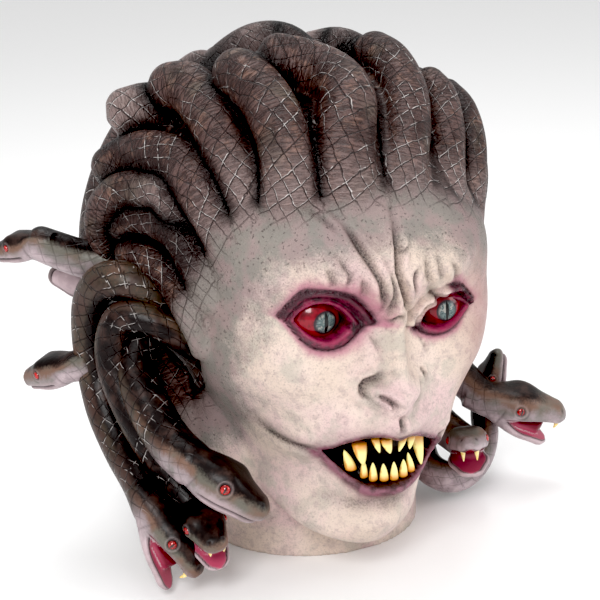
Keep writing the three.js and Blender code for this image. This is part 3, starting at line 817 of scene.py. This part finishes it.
def scale_lines(recipe, along, angle, radius, pitch, width):
    """Crossing slanted lines of a snake's scales: their grooves, and the lit edges beside them."""
    waver = (recipe.noise(16, 3) - 0.5) * 0.9
    length = along / (pitch * 1.25) + waver
    round_it = angle * (radius / pitch) + waver * 0.6
    first = (length * 0.55 + round_it).maths("FRACT")
    second = (length - round_it * 0.5).maths("FRACT")
    uneven = width * (0.5 + recipe.noise(6, 2))
    off_first = (first - 0.5).maths("ABSOLUTE")
    off_second = (second - 0.5).maths("ABSOLUTE")
    grooves = 1 - off_first.least(off_second).step(uneven * 0.25, uneven)
    beside_first = (first - 0.5 - uneven * 1.1).maths("ABSOLUTE")
    beside_second = (second - 0.5 - uneven * 1.1).maths("ABSOLUTE")
    edges = 1 - beside_first.least(beside_second).step(uneven * 0.1, uneven * 0.6)
    return grooves, edges


latex = Recipe("painted_latex")
hair_depth = latex.painted("hair_depth")
crease_shade = latex.painted("crease_shade")
angle = latex.painted("around_sin").maths("ARCTAN2", latex.painted("around_cos"))
lines, lit_edges = scale_lines(latex, latex.painted("along"), angle, 13, 7.5, 0.05)
speckle = latex.noise(0.9, 3, 0.65)
fleck = latex.noise(9, 4, 0.6)
wrinkle_place = latex.node("ShaderNodeCombineXYZ", {}, {0: latex.painted("along") * 0.9, 1: angle * 1.6})
wrinkles = latex.node("ShaderNodeTexNoise", {}, {"Vector": wrinkle_place, "Scale": 1.0, "Detail": 3.0}, "Fac")

crest = latex.painted("crest")
streaks = latex.noise(3.2, 4, 0.7)
root_grey = latex.painted("root_grey")
# Patches where painted highlights show on the scale edges, more of them near the crown's roots
glint_patches = (latex.noise(22, 3) + root_grey * 0.12).step(0.44, 0.58) * latex.noise(3, 2).step(0.4, 0.52)
scalp = latex.coats(
    latex.mix(latex.noise(38, 3).step(0.38, 0.62), (0.040, 0.019, 0.017), (0.100, 0.058, 0.053)),
    (fleck.step(0.5, 0.72) * 0.6, (0.24, 0.13, 0.095)),
    (latex.noise(24, 2).step(0.55, 0.75) * 0.5, (0.13, 0.115, 0.085)),
    (wrinkles.step(0.47, 0.62) * 0.8, (0.020, 0.009, 0.008)),
    (streaks.step(0.52, 0.7) * 0.5, (0.030, 0.014, 0.013)),
    (root_grey * 0.65, (0.27, 0.20, 0.19)),
    # Painted shade, dark brown, in wide bands along the creases where coils meet
    ((1 - (crest + (fleck - 0.5) * 0.5).step(0.05, 0.8)) * 0.82, (0.014, 0.006, 0.006)),
    (lines * 0.8, (0.010, 0.005, 0.005)),
    # Painted highlights, near white, along the scale edges, brighter on the coils' tops
    (lit_edges * glint_patches * (0.3 + 0.7 * crest) * 0.8, (0.80, 0.75, 0.73)),
    # Painted shade, near black, in the creases between coils
    (crease_shade.step(0.1, 0.9), (0.005, 0.002, 0.002)),
)

# Face: pinkish and yellowish mottling, a blush, then grey airbrush and pores that thicken to the hair
blush = latex.painted("blush") + (latex.noise(5, 3) - 0.5) * 0.5
airbrush = hair_depth.step(-46, -6) + (speckle - 0.5) * 0.7 + (latex.noise(14, 4, 0.6) - 0.5) * 1.0
greyed = latex.mix(latex.noise(12, 3).step(0.4, 0.62), (0.185, 0.172, 0.155), (0.25, 0.185, 0.18))
pores = latex.noise(1.7, 2, 0.6).step(0.6, 0.68) * (0.2 + 0.5 * airbrush.step(0.1, 0.8))
cream = latex.coats(
    latex.mix(latex.noise(60, 2).step(0.35, 0.65), (0.64, 0.52, 0.44), (0.72, 0.59, 0.53)),
    (latex.noise(30, 3).step(0.45, 0.68) * 0.7, (0.62, 0.43, 0.44)),
    (latex.noise(17, 4, 0.6).step(0.48, 0.66) * 0.7, (0.44, 0.40, 0.34)),
    (latex.painted("jaw") * latex.noise(25, 2).step(0.35, 0.7) * 0.5, (0.58, 0.47, 0.40)),
    (latex.noise(5, 4, 0.65).step(0.48, 0.68) * 0.5, (0.38, 0.29, 0.28)),
    (speckle.step(0.5, 0.66) * 0.3, (0.27, 0.21, 0.20)),
    (blush.step(0.08, 0.95) * 0.9, (0.44, 0.17, 0.23)),
    (latex.painted("lip_shadow") * 0.6, (0.34, 0.19, 0.22)),
    # Darker pinkish grey over the face's left side, the side away from the camera
    (latex.painted("far_side") * (0.45 + latex.noise(8, 3) * 0.5), (0.36, 0.19, 0.18)),
    (airbrush.step(0.05, 0.8) * 0.9, greyed),
    (hair_depth.step(-14, 2) * (0.5 + (speckle - 0.5) * 1.5), (0.07, 0.045, 0.043)),
    (pores, (0.05, 0.035, 0.033)),
)

# Painted shade in the furrows; lids, lips, the mouth and eye openings, and the scale lines that reach onto
# the forehead
lid_colour = latex.mix(latex.noise(4, 3).step(0.35, 0.55), (0.20, 0.010, 0.045), (0.030, 0.003, 0.010))
lid_colour = latex.mix(latex.painted("lid_edge") * 0.75, lid_colour, (0.040, 0.008, 0.016))
lip_colour = latex.mix(latex.noise(6, 3).step(0.4, 0.6), (0.20, 0.065, 0.10), (0.06, 0.012, 0.022))
# Black crust round the eyes, broken by noise, with painted shade in the upper lid creases and a black spot at
# each eye's inner corner
broken_crust_and_shade = latex.painted("crust_and_crease_shade") * (0.65 + 0.35 * latex.noise(1.8, 2).step(0.4, 0.6))
skin = latex.coats(
    cream,
    # Painted shade, near black, along the carved furrows
    (latex.painted("furrow_shade") * (0.65 + 0.35 * speckle.step(0.4, 0.6)), (0.022, 0.012, 0.012)),
    (latex.painted("wine") * 0.93, lid_colour),
    (latex.painted("waterline") * 0.8, (0.34, 0.03, 0.09)),
    (broken_crust_and_shade, (0.018, 0.006, 0.009)),
    (latex.painted("lips") * 0.9, lip_colour),
    (latex.painted("mouth"), (0.008, 0.003, 0.003)),
    (latex.painted("hole"), (0.03, 0.002, 0.004)),
    (lines * hair_depth.step(-12, -1) * 0.65, (0.04, 0.025, 0.025)),
)
in_hair = (hair_depth + (fleck - 0.5) * 8).step(-4.5, 2.5)
colour = latex.mix(in_hair, skin, scalp)

wet = latex.painted("mouth").most(latex.painted("crust_and_crease_shade") * 0.9).most(latex.painted("waterline"))
wet = wet.most(latex.painted("lips") * 0.7).most(latex.painted("wine") * 0.85)
roughness = 0.36 - in_hair * 0.06 - wet * 0.26 + latex.noise(5, 3) * 0.2
relief = latex.noise(1.5, 3) * 0.5 + speckle * 0.7 - lines * hair_depth.step(-13, -1) * 1.4
relief = relief - wrinkles.step(0.45, 0.62) * in_hair * 1.3
relief = relief + latex.painted("crust_and_crease_shade") * latex.noise(1.4, 2) * 1.5
latex.surface(
    Base_Color=colour,
    Roughness=roughness,
    Specular_IOR_Level=0.42,
    Normal=latex.bumps(relief, 0.8, 0.85),
)
mask.data.materials.clear()
mask.data.materials.append(latex.material)
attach(mask, "root")
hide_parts("latex_mask")

# Mask eyes
# Two glassy eyes cast in the skin and painted: blood-red whites, a grey iris with an upright slit, under
# clear varnish. Each looks its own way, a little off straight ahead.


def rounded_ball(name, centre, radii, columns=48, rings=32):
    """A smooth ball or egg around a centre."""
    def place(turn, rise):
        angle = 2 * np.pi * turn
        level = np.pi * rise
        across = np.sin(level)
        return np.stack([
            centre[0] + radii[0] * across * np.cos(angle),
            centre[1] + radii[1] * across * np.sin(angle),
            centre[2] + radii[2] * np.cos(level),
        ], axis=1)
    return formed_sphere(name, columns, rings, place)


def ride_as_latex(piece, material):
    """Gives a piece of the casting its paint and ties it to the part."""
    bpy.ops.object.select_all(action="DESELECT")
    piece.select_set(True)
    bpy.context.view_layer.objects.active = piece
    bpy.ops.object.shade_smooth()
    if material is not None:
        piece.data.materials.clear()
        piece.data.materials.append(material)
    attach(piece, "root")
    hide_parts("latex_mask")


# Each eye: its middle, where it looks in degrees to the mask's left and up, and its iris's size as shares
eye_ball_radius = 15
eye_balls = []
for place, turn, tilt, width, height in (
    ((-37.8, -62, 146.7), 4, -5, 1.0, 0.93),
    ((31.5, -66, 140.7), -2, 1, 0.87, 0.85),
):
    ball = rounded_ball("eye", place, [eye_ball_radius] * 3)
    gaze = Vector((math.tan(math.radians(turn)), -1, math.tan(math.radians(tilt)))).normalized()
    gaze_aside = gaze.cross(Vector((0, 0, 1))).normalized()
    gaze_up = gaze_aside.cross(gaze)
    spots = vertex_places(ball) - place
    store(ball, "gaze_right", spots @ np.array(gaze_aside) / width)
    store(ball, "gaze_up", spots @ np.array(gaze_up) / height)
    eye_balls.append(ball)
eyes = join(eye_balls, "mask_eyes")

eye_paint = Recipe("eye_paint")
sideways = eye_paint.painted("gaze_right")
upward = eye_paint.painted("gaze_up")
from_centre = (sideways ** 2 + upward ** 2) ** 0.5
veins = eye_paint.noise(4, 4, 0.6)
white = eye_paint.mix(veins.step(0.4, 0.65), (0.24, 0.006, 0.016), (0.10, 0.002, 0.006))
ray_angle = upward.maths("ARCTAN2", sideways) * 3
ray_place = eye_paint.node("ShaderNodeCombineXYZ", {}, {0: ray_angle, 1: from_centre * 0.1})
ray_inputs = {"Vector": ray_place, "Scale": 4.0}
ray = eye_paint.node("ShaderNodeTexNoise", {"noise_dimensions": "2D"}, ray_inputs, "Fac")
slit_half_width = 1.15
slit_half_height = 6.2
slit = 1 - ((sideways / slit_half_width) ** 2 + (upward / slit_half_height) ** 2).step(0.75, 1.1)
iris = eye_paint.coats(
    eye_paint.mix(ray.step(0.4, 0.65), (0.035, 0.06, 0.065), (0.17, 0.22, 0.21)),
    (eye_paint.noise(2.5, 3).step(0.5, 0.6) * 0.7, (0.36, 0.34, 0.31)),
    (from_centre.step(4.4, 6.2), (0.03, 0.016, 0.022)),
    (slit, (0.004, 0.004, 0.004)),
)
colour = eye_paint.mix(from_centre.step(6.4, 7.0), iris, white)
eye_paint.surface(
    Base_Color=colour,
    Roughness=0.3,
    Specular_IOR_Level=0.2,
    Coat_Weight=0.6,
    Coat_Roughness=0.03,
)
ride_as_latex(eyes, eye_paint.material)

# Teeth
# Long pointed teeth cast with the mouth and painted yellow, orange-brown at their roots and edges, varnished.
# Each tooth: root and tip places across the mouth and up, and its width.
upper_teeth = [
    ((-13, 80), (-11.3, 66), 7.5), ((-6.6, 82.5), (-4.6, 73.3), 4.2), ((-1, 81.5), (1, 72), 6),
    ((9.5, 80), (6, 72), 4.2), ((15, 80), (13, 71.5), 4.4), ((21.5, 79), (23.5, 58.5), 6.5),
]
lower_teeth = [
    ((-14.8, 61.5), (-19.3, 75), 6), ((-8.8, 57.5), (-9.4, 68.5), 4.2), ((-4.3, 55.5), (-4.9, 67), 4.6),
    ((1.2, 55), (0.3, 66), 4.7), ((6.8, 54.5), (6.2, 66), 4.5), ((13, 54.5), (12.7, 65.5), 4.6),
    ((18.5, 55.5), (16, 68), 4.2),
]
teeth_behind_lips = 5


def tooth(root, tip, width):
    """A pointed tooth, egg-shaped in section; its front follows the curve of the mouth."""
    middle = np.array([(root[0] + tip[0]) / 2, (root[1] + tip[1]) / 2])
    midline = float(face_midline(middle[1]))
    front_y = float(face_surface(middle[0] + midline, middle[1])) + teeth_behind_lips

    def place(turn, rise):
        angle = 2 * np.pi * turn
        half_width = width / 2 * np.sqrt(np.clip(rise / 0.12, 0, 1))
        half_width = half_width * np.clip(1 - rise ** 2, 0, 1) ** 0.75 * 1.1
        return np.stack([
            midline + root[0] + (tip[0] - root[0]) * rise ** 1.3 + half_width * np.cos(angle),
            front_y - 1.2 * rise + 0.8 * half_width * np.sin(angle),
            root[1] + (tip[1] - root[1]) * rise,
        ], axis=1)

    piece = formed_sphere("tooth", 20, 16, place)
    points = vertex_places(piece)
    tall = np.clip((points[:, 2] - root[1]) / (tip[1] - root[1]), 0, 1)
    store(piece, "tooth_length", tall)
    edge = np.abs(points[:, 0] - midline - root[0] - (tip[0] - root[0]) * tall ** 1.3) / (width / 2)
    store(piece, "tooth_edge", edge)
    return piece


teeth = join([tooth(*size) for size in upper_teeth + lower_teeth], "mask_teeth")
tooth_paint = Recipe("tooth_paint")
rooty = 1 - tooth_paint.painted("tooth_length").step(0.12, 0.5)
edgy = tooth_paint.painted("tooth_edge").step(0.5, 0.9) * tooth_paint.noise(3, 2).step(0.35, 0.55)
colour = tooth_paint.mix((rooty * 0.9).most(edgy * 0.9), (0.95, 0.82, 0.33), (0.70, 0.24, 0.015))
tooth_paint.surface(Base_Color=colour, Roughness=0.2, Coat_Weight=0.4)
ride_as_latex(teeth, tooth_paint.material)

# Free snakes
# Nine snakes cast on the scalp that swing free of it, four of them biting. Same latex skin, airbrushed dark
# along the back, pale and pinkish below; pink mouths with small fangs and red varnished eyes.
# Each snake: route of its middle line, radii along it from root to head, snout, crown direction, bite,
# pale paint, and how far along the head its eyes lie. A bite is the gape in degrees, then shares: the
# lower jaw of the head, the flesh of the lower jaw, the fangs of the head. The pale paint is how far
# behind the head it runs, and how high it climbs.
snakes = [
    ("snake_right_outer", [(-75, 10, 114), (-83, 14, 132), (-101, 10, 153), (-114, 20, 156), (-119, 32, 144),
                           (-120, 36, 123), (-119, 34, 101), (-119, 24, 83), (-117, 8, 66), (-116, -12, 55),
                           (-117, -28, 46)],
     (11.5, 10), (-102, -50, 13), (0.67, -0.5, 0.6), (21, 0.86, 0.7, 0.11), (-4, 0), 0.5),
    ("snake_right_inner", [(-74, -2, 99), (-79, -5, 112), (-88, -9, 126), (-99, -6, 137), (-112, 6, 140),
                           (-117, 12, 129), (-118, 12, 114), (-116, 6, 99), (-112, -4, 83),
                           (-105, -14, 65), (-100, -26, 53), (-96, -34, 44)],
     (4, 9, 9, 9.5), (-98, -69, 34), (-0.2, -0.45, 0.87), (21, 0.86, 0.7, 0.11), (-6, 0), 0.5),
    ("snake_right_jaw", [(-102, 14, 122), (-108, 8, 111), (-108, -2, 100), (-106, -14, 88), (-103, -28, 78),
                         (-99, -42, 72)],
     (11.5, 12), (-72, -72, 48), (0.5, -0.3, 0.83), None, (12, 0), 0.5),
    ("snake_right_high", [(-92, 38, 153), (-104, 46, 159), (-116, 52, 161), (-127, 56, 166), (-137, 60, 171)],
     (11.5, 9.5), (-155, 84, 163), (0, -0.1, 1), None, (70, 0.1), 0.5),
    ("snake_right_blunt", [(-80, 46, 131), (-92, 54, 135), (-98, 58, 138), (-104, 62, 140)],
     (12, 9.5), (-128, 76, 149), (0.45, 0.85, -0.1), None, (70, 0.2), 0.5),
    ("snake_right_middle", [(-100, 40, 102), (-110, 40, 104), (-120, 40, 106), (-130, 40, 106)],
     (8.5, 8.5), (-147, 69, 94), (-0.15, -0.05, 1), None, (70, 0.25), 0.5),
    ("snake_left_reaching", [(66, 40, 118), (88, 40, 126), (98, 38, 109), (97, 30, 88), (94, 20, 71),
                             (99, 12, 61), (104, 5, 54), (108, 1, 51)],
     (11, 10), (148, -18, 39.5), (0.1, -0.28, 0.95), (22, 0.78, 0.8, 0.1), (70, 0.5), 0.36),
    ("snake_left_rearing", [(67, 46, 89), (73, 40, 63), (74, 30, 36), (67, 8, 20), (69, -10, 16),
                            (82, -10, 14), (98, -2, 18), (109, 8, 27), (113, 16, 38), (117, 18, 46)],
     (11, 7.5), (122, 12, 76), (-0.9, 0.3, 0.07), None, (120, 0), 0.5),
    ("snake_left_low", [(57, 30, 71), (73, 22, 50), (82, 8, 37), (87, -6, 31)],
     (11, 10), (70, -38, 43), (0.05, 0.2, 1), (20, 0.85, 0.4, 0.15), (30, 0.6), 0.5),
]
# Half-width, height above and depth below along a head, as shares of its length; a head starts within
# the neck
head_start = -0.35
head_width = curve_through([
    (head_start, 0.15), (-0.1, 0.22), (0.1, 0.26), (0.32, 0.315), (0.5, 0.3), (0.66, 0.25), (0.8, 0.21),
    (0.92, 0.165), (1, 0.08),
])
head_above = curve_through([
    (head_start, 0.13), (-0.1, 0.2), (0.1, 0.235), (0.35, 0.275), (0.5, 0.27), (0.64, 0.22), (0.8, 0.175),
    (0.93, 0.13), (1, 0.05),
])
head_below = curve_through([
    (head_start, 0.13), (-0.1, 0.19), (0.1, 0.225), (0.3, 0.25), (0.5, 0.245), (0.7, 0.21), (0.88, 0.17),
    (1, 0.06),
])
palate_below = curve_through([
    (head_start, 0.13), (0, 0.2), (0.15, 0.18), (0.3, 0.12), (0.5, 0.085), (0.8, 0.075), (0.93, 0.085),
    (1, 0.04),
])
jaw_above = curve_through([(head_start, 0.1), (0, 0.06), (0.3, 0.02), (1, 0.02)])
jaw_below = curve_through([
    (head_start, 0.1), (0, 0.14), (0.3, 0.125), (0.7, 0.1), (0.93, 0.075), (1, 0.03),
])
# Also shares of the length: the jaws' hinge, and the eyes' size, height and place aside
hinge_share = 0.12
hinge_drop = 0.11
eye_size = 0.062
eye_height = 0.085
eye_socket_aside = 0.275
eye_ball_aside = 0.262


def unit(vector):
    vector = np.array(vector, float)
    return vector / np.linalg.norm(vector)


def jaw(name, base, forward, up, side, length, above, below, width_share):
    """Half a head, or a whole one: its widths and heights come from the profiles."""
    def place(turn, rise):
        at = head_start + (1 - head_start) * (1 - np.cos(np.pi * rise)) / 2
        cap = np.sqrt(np.clip(np.minimum(rise, 1 - rise) / 0.05, 0, 1))
        angle = 2 * np.pi * turn
        across = np.sign(np.cos(angle)) * np.abs(np.cos(angle)) ** 0.75
        high = np.sign(np.sin(angle)) * np.abs(np.sin(angle)) ** 0.85
        height = np.where(high > 0, above(at), below(at)) * high
        return (base + forward * (at * length)[:, None]
                + side * (head_width(at) * across * cap * width_share)[:, None]
                + up * (height * cap * width_share)[:, None])

    return formed_sphere(name, 56, 56, place)


def turned(vector, axis, degrees):
    return np.array(Matrix.Rotation(math.radians(degrees), 3, Vector(axis)) @ Vector(vector))


def body_line(route, girth, up):
    line, travelled = smooth_line(route, 2.5)
    _, ups, asides = cross_frames(line, up)
    return line, ups, asides, travelled, radii_along(girth, travelled / travelled[-1])


def snake(name, route, girth, snout, crown, bite, pale_paint, eye_share):
    """One snake: body, jaws, eyes and fangs, with its paint masks."""
    base = np.array(route[-1], float)
    length = np.linalg.norm(snout - base)
    forward = unit(snout - base)
    up = unit(np.array(crown) - forward * (np.array(crown) @ forward))
    side = np.cross(up, forward)
    pieces = [swept_body("body", route, girth, last_up=up)]
    if bite:
        gape, lower_share, flesh_share, fang_share = bite
        drop_forward, drop_up = turned(forward, side, gape), turned(up, side, gape)
        hinge = base + (forward * hinge_share - up * hinge_drop) * length
        pieces.append(jaw("upper", base, forward, up, side, length, head_above, palate_below, length))
        pieces.append(jaw("lower", hinge, drop_forward, drop_up, side, length * lower_share, jaw_above,
                          jaw_below, length))
        flesh_forward, flesh_up = turned(forward, side, gape * 0.5), turned(up, side, gape * 0.5)
        flesh_length = lower_share * flesh_share
        spread = math.tan(math.radians(gape / 2)) * flesh_length
        flesh_height = curve_through([(head_start, 0.03), (0, 0.05), (1, 0.03 + spread)])
        pieces.append(jaw("flesh", hinge, flesh_forward, flesh_up, side, length * flesh_length, flesh_height,
                          flesh_height, length * 0.75))
    else:
        pieces.append(jaw("closed", base, forward, up, side, length, head_above, head_below, length))
    body = join(pieces, name)
    finish_with(body, "REMESH", mode="VOXEL", voxel_size=0.0008, use_smooth_shade=True)
    finish_with(body, "SMOOTH", factor=0.5, iterations=4)

    points = vertex_places(body)
    normals = vertex_normals(body)
    local = points - base
    ahead, aside, above = local @ forward / length, local @ side / length, local @ up / length
    near_head = (np.abs(aside) < 0.45) * (ahead > -0.2)
    on_head = ease(ahead, -0.1, 0.2) * near_head
    half_width = head_width(np.clip(ahead, head_start, 1))
    inside = np.zeros(len(points))
    if bite:
        in_jaw = points - hinge
        jaw_ahead, above_jaw = in_jaw @ drop_forward / length, in_jaw @ drop_up / length
        jaw_half_width = head_width(np.clip(jaw_ahead / lower_share, head_start, 1))
        below_palate = -above - palate_below(np.clip(ahead, head_start, 1))
        facing_down, facing_up = ease(-(normals @ up), 0.25, 0.6), ease(normals @ drop_up, 0.25, 0.6)
        within = near_head * (ahead > 0.16) * (above_jaw > -0.03) * (below_palate > -0.05)
        roof = facing_down * (below_palate < 0.03) * within
        tongue = facing_up * (above_jaw < 0.05) * within
        between = (below_palate > 0.012) * (above_jaw > 0.035) * within
        rim_roof = half_width - np.abs(aside) - 0.05
        rim_tongue = jaw_half_width - np.abs(aside) - 0.05
        inside = np.maximum(ease(rim_roof, 0, 0.025) * roof, ease(rim_tongue, 0, 0.025) * tongue)
        inside = np.maximum(inside, between)
        groove = np.maximum(mound(rim_roof * length, 0.6) * roof, mound(rim_tongue * length, 0.6) * tongue)
    else:
        lip_height = -0.146 + 0.07 * (ahead - 0.33)
        groove = mound((above - lip_height) * length, 0.8) * on_head * ease(ahead, 0.24, 0.32)
        points = points - normals * (groove * 1.8)[:, None]
    from_nostril = np.hypot((ahead - 0.92) * 1.3, np.abs(aside) - 0.11) * length
    nostril = mound(from_nostril, 0.8) * (above > 0) * near_head
    eye_ring = np.zeros(len(points))
    lid_crease = np.zeros(len(points))
    eye_radius = eye_size * length
    for hand in (-1, 1):
        eye_at = base + (forward * eye_share + side * hand * eye_socket_aside + up * eye_height) * length
        away = np.linalg.norm(points - eye_at, axis=1) / eye_radius
        eye_ring = np.maximum(eye_ring, mound(away - 1.3, 0.2))
        in_front = ease((points - eye_at) @ (forward - 0.4 * up) / eye_radius, 0.2, 1.4)
        crease = np.maximum(0.6 * in_front * mound(away - 1.85, 0.16), mound(away - 0.98, 0.16))
        lid_crease = np.maximum(lid_crease, crease)
    from_brow = np.hypot((ahead - eye_share) * 0.7, np.abs(aside) - 0.2) * length
    brow = mound(from_brow, 0.09 * length) * (above > 0.1)
    cheek_fold = mound((ahead - 0.16 - 0.25 * above) * length, 0.5) * on_head * ease(-above, -0.1, 0.02)
    carved = eye_ring * 0.4 - lid_crease * 0.3 - nostril * 0.8 - cheek_fold * 0.4 + brow * 0.9
    points = points + normals * carved[:, None]
    set_vertex_places(body, points)
    middle_line = body_line(route, girth, up)
    _, _, along, cosine, sine = nearest_coil(points, [middle_line])
    pale_run, pale_climb = pale_paint
    pale_from = middle_line[3][-1] - pale_run
    store(body, "along", along)
    store(body, "back", cosine * (1 - on_head) + np.clip(above / 0.26, -1, 1) * on_head - pale_climb)
    store(body, "around_cos", cosine)
    store(body, "around_sin", sine)
    store(body, "head", on_head)
    store(body, "pale", np.maximum(ease(along, pale_from - 14, pale_from + 8), on_head))
    store(body, "inside", inside)
    # Painted shade: the mouth's flesh darkens from pink to crimson towards its back and away from the lower
    # jaw
    depth_in = np.maximum(1 - ease(ahead, 0.2, 0.5), ease(above_jaw, 0.04, 0.12)) if bite else 0
    store(body, "deep", inside * depth_in)
    # Painted shade, near black, in the mouth line, nostrils, lid creases and cheek folds
    store(body, "groove", np.clip(groove + nostril + lid_crease * 0.75 + cheek_fold * 0.4, 0, 1))
    store(body, "lip", on_head * ease(-above, 0.0, 0.1) * ease(ahead, 0.2, 0.4))
    store(body, "eye_ring", eye_ring)
    body.data.materials.clear()
    body.data.materials.append(snake_paint.material)

    details = []
    for hand in (-1, 1):
        eye_at = base + (forward * eye_share + side * hand * eye_ball_aside + up * eye_height) * length
        eye = rounded_ball("snake_eye", eye_at, [eye_radius] * 3, 24, 16)
        look = unit(side * hand * 0.9 + up * 0.1 + forward * 0.25)
        upright = unit(up - look * (up @ look))
        level = np.cross(look, upright)
        spot = (vertex_places(eye) - eye_at) / eye_radius
        store(eye, "pupil_up", spot @ upright)
        store(eye, "pupil_aside", spot @ level)
        eye.data.materials.append(snake_eye_paint.material)
        details.append(eye)
        if bite:
            root = base + (forward * 0.88 + side * hand * 0.1 - up * 0.05) * length
            drop = -up * fang_share * length
            fang = swept_body("fang", [root, root + drop * 0.5 + forward * 0.012 * length, root + drop],
                              (0.042 * length, 0.01 * length), 14, 0.6)
            fang.data.materials.append(fang_paint.material)
            details.append(fang)
    return join([body] + details, name)


snake_paint = Recipe("snake_paint")
back = snake_paint.painted("back")
pale = snake_paint.painted("pale")
on_head = snake_paint.painted("head")
angle = snake_paint.painted("around_sin").maths("ARCTAN2", snake_paint.painted("around_cos"))
lines, lit_edges = scale_lines(snake_paint, snake_paint.painted("along"), angle, 10, 6, 0.08)
lines = lines * (1 - on_head) * (1 - pale * 0.6)
mottle = snake_paint.noise(9, 4, 0.6)
grain = snake_paint.noise(1.2, 3, 0.65)
blotch = snake_paint.noise(22, 3)
dark = snake_paint.mix(mottle.step(0.45, 0.7), (0.008, 0.005, 0.005), (0.046, 0.026, 0.022))
brown = snake_paint.mix(blotch.step(0.4, 0.6), (0.060, 0.035, 0.029), (0.050, 0.043, 0.033))
tan = snake_paint.mix(blotch.step(0.42, 0.58), (0.17, 0.10, 0.075), (0.13, 0.12, 0.10))
grey = snake_paint.mix(mottle.step(0.4, 0.65), (0.29, 0.235, 0.245), (0.20, 0.18, 0.17))
light = snake_paint.mix(mottle.step(0.4, 0.65), (0.46, 0.37, 0.39), (0.30, 0.24, 0.255))
shade = back + (mottle - 0.5) * 0.5 + (grain - 0.5) * 0.35
low = 0.5 - pale * 0.5
bare_side = snake_paint.coats(
    brown,
    ((blotch + (grain - 0.5) * 0.5).step(0.5, 0.7), (0.10, 0.058, 0.042)),
    (mottle.step(0.52, 0.68) * 0.6, (0.022, 0.013, 0.011)),
)
glint = lit_edges * snake_paint.noise(16, 3).step(0.48, 0.58) * snake_paint.noise(3, 2).step(0.42, 0.55)
inside = snake_paint.painted("inside")
# Painted shade: pink flesh that darkens to crimson deep in the mouth
flesh = snake_paint.mix(snake_paint.painted("deep"), (0.40, 0.075, 0.125), (0.15, 0.006, 0.02))
colour = snake_paint.coats(
    light,
    (shade.step(-0.85, -0.3), grey),
    (shade.step(-0.35, 0.1), tan),
    (1 - pale, bare_side),
    ((shade + low * 0.5).step(0.15, 0.5), dark),
    (lines * 0.75, (0.012, 0.008, 0.008)),
    (glint * (1 - pale) * 0.5, (0.75, 0.70, 0.68)),
    # Painted highlight, pale pink, on the raised ring round each eye
    (snake_paint.painted("eye_ring") * 0.3, (0.42, 0.33, 0.33)),
    (snake_paint.painted("lip") * 0.35, (0.55, 0.40, 0.42)),
    # Painted shade, near black, in the carved grooves and creases
    (snake_paint.painted("groove"), (0.008, 0.004, 0.005)),
    (inside, flesh),
)
relief = snake_paint.noise(1.6, 3) * 0.3 + grain * 0.2 - lines * 1.0 + mottle * 0.5
snake_paint.surface(
    Base_Color=colour,
    Roughness=0.34 - inside * 0.2 + mottle * 0.08,
    Specular_IOR_Level=0.3,
    Normal=snake_paint.bumps(relief, 0.7, 0.4),
)

snake_eye_paint = Recipe("snake_eye_paint")
tall, wide = snake_eye_paint.painted("pupil_up"), snake_eye_paint.painted("pupil_aside")
pupil = 1 - ((tall / 0.72) ** 2 + (wide / 0.2) ** 2).step(0.7, 1.1)
red_share = snake_eye_paint.noise(2, 3).step(0.4, 0.6)
red = snake_eye_paint.mix(red_share, (0.50, 0.008, 0.006), (0.22, 0.004, 0.004))
rim = (tall ** 2 + wide ** 2).step(0.55, 0.9)
colour = snake_eye_paint.coats(red, (pupil, (0.006, 0.002, 0.002)), (rim * 0.8, (0.03, 0.004, 0.004)))
snake_eye_paint.surface(Base_Color=colour, Roughness=0.08, Coat_Weight=0.8, Coat_Roughness=0.03)

fang_paint = Recipe("fang_paint")
colour = fang_paint.mix(fang_paint.noise(2, 2).step(0.4, 0.6), (0.90, 0.76, 0.40), (0.85, 0.60, 0.18))
fang_paint.surface(Base_Color=colour, Roughness=0.25)

for size in snakes:
    ride_as_latex(snake(*size), None)
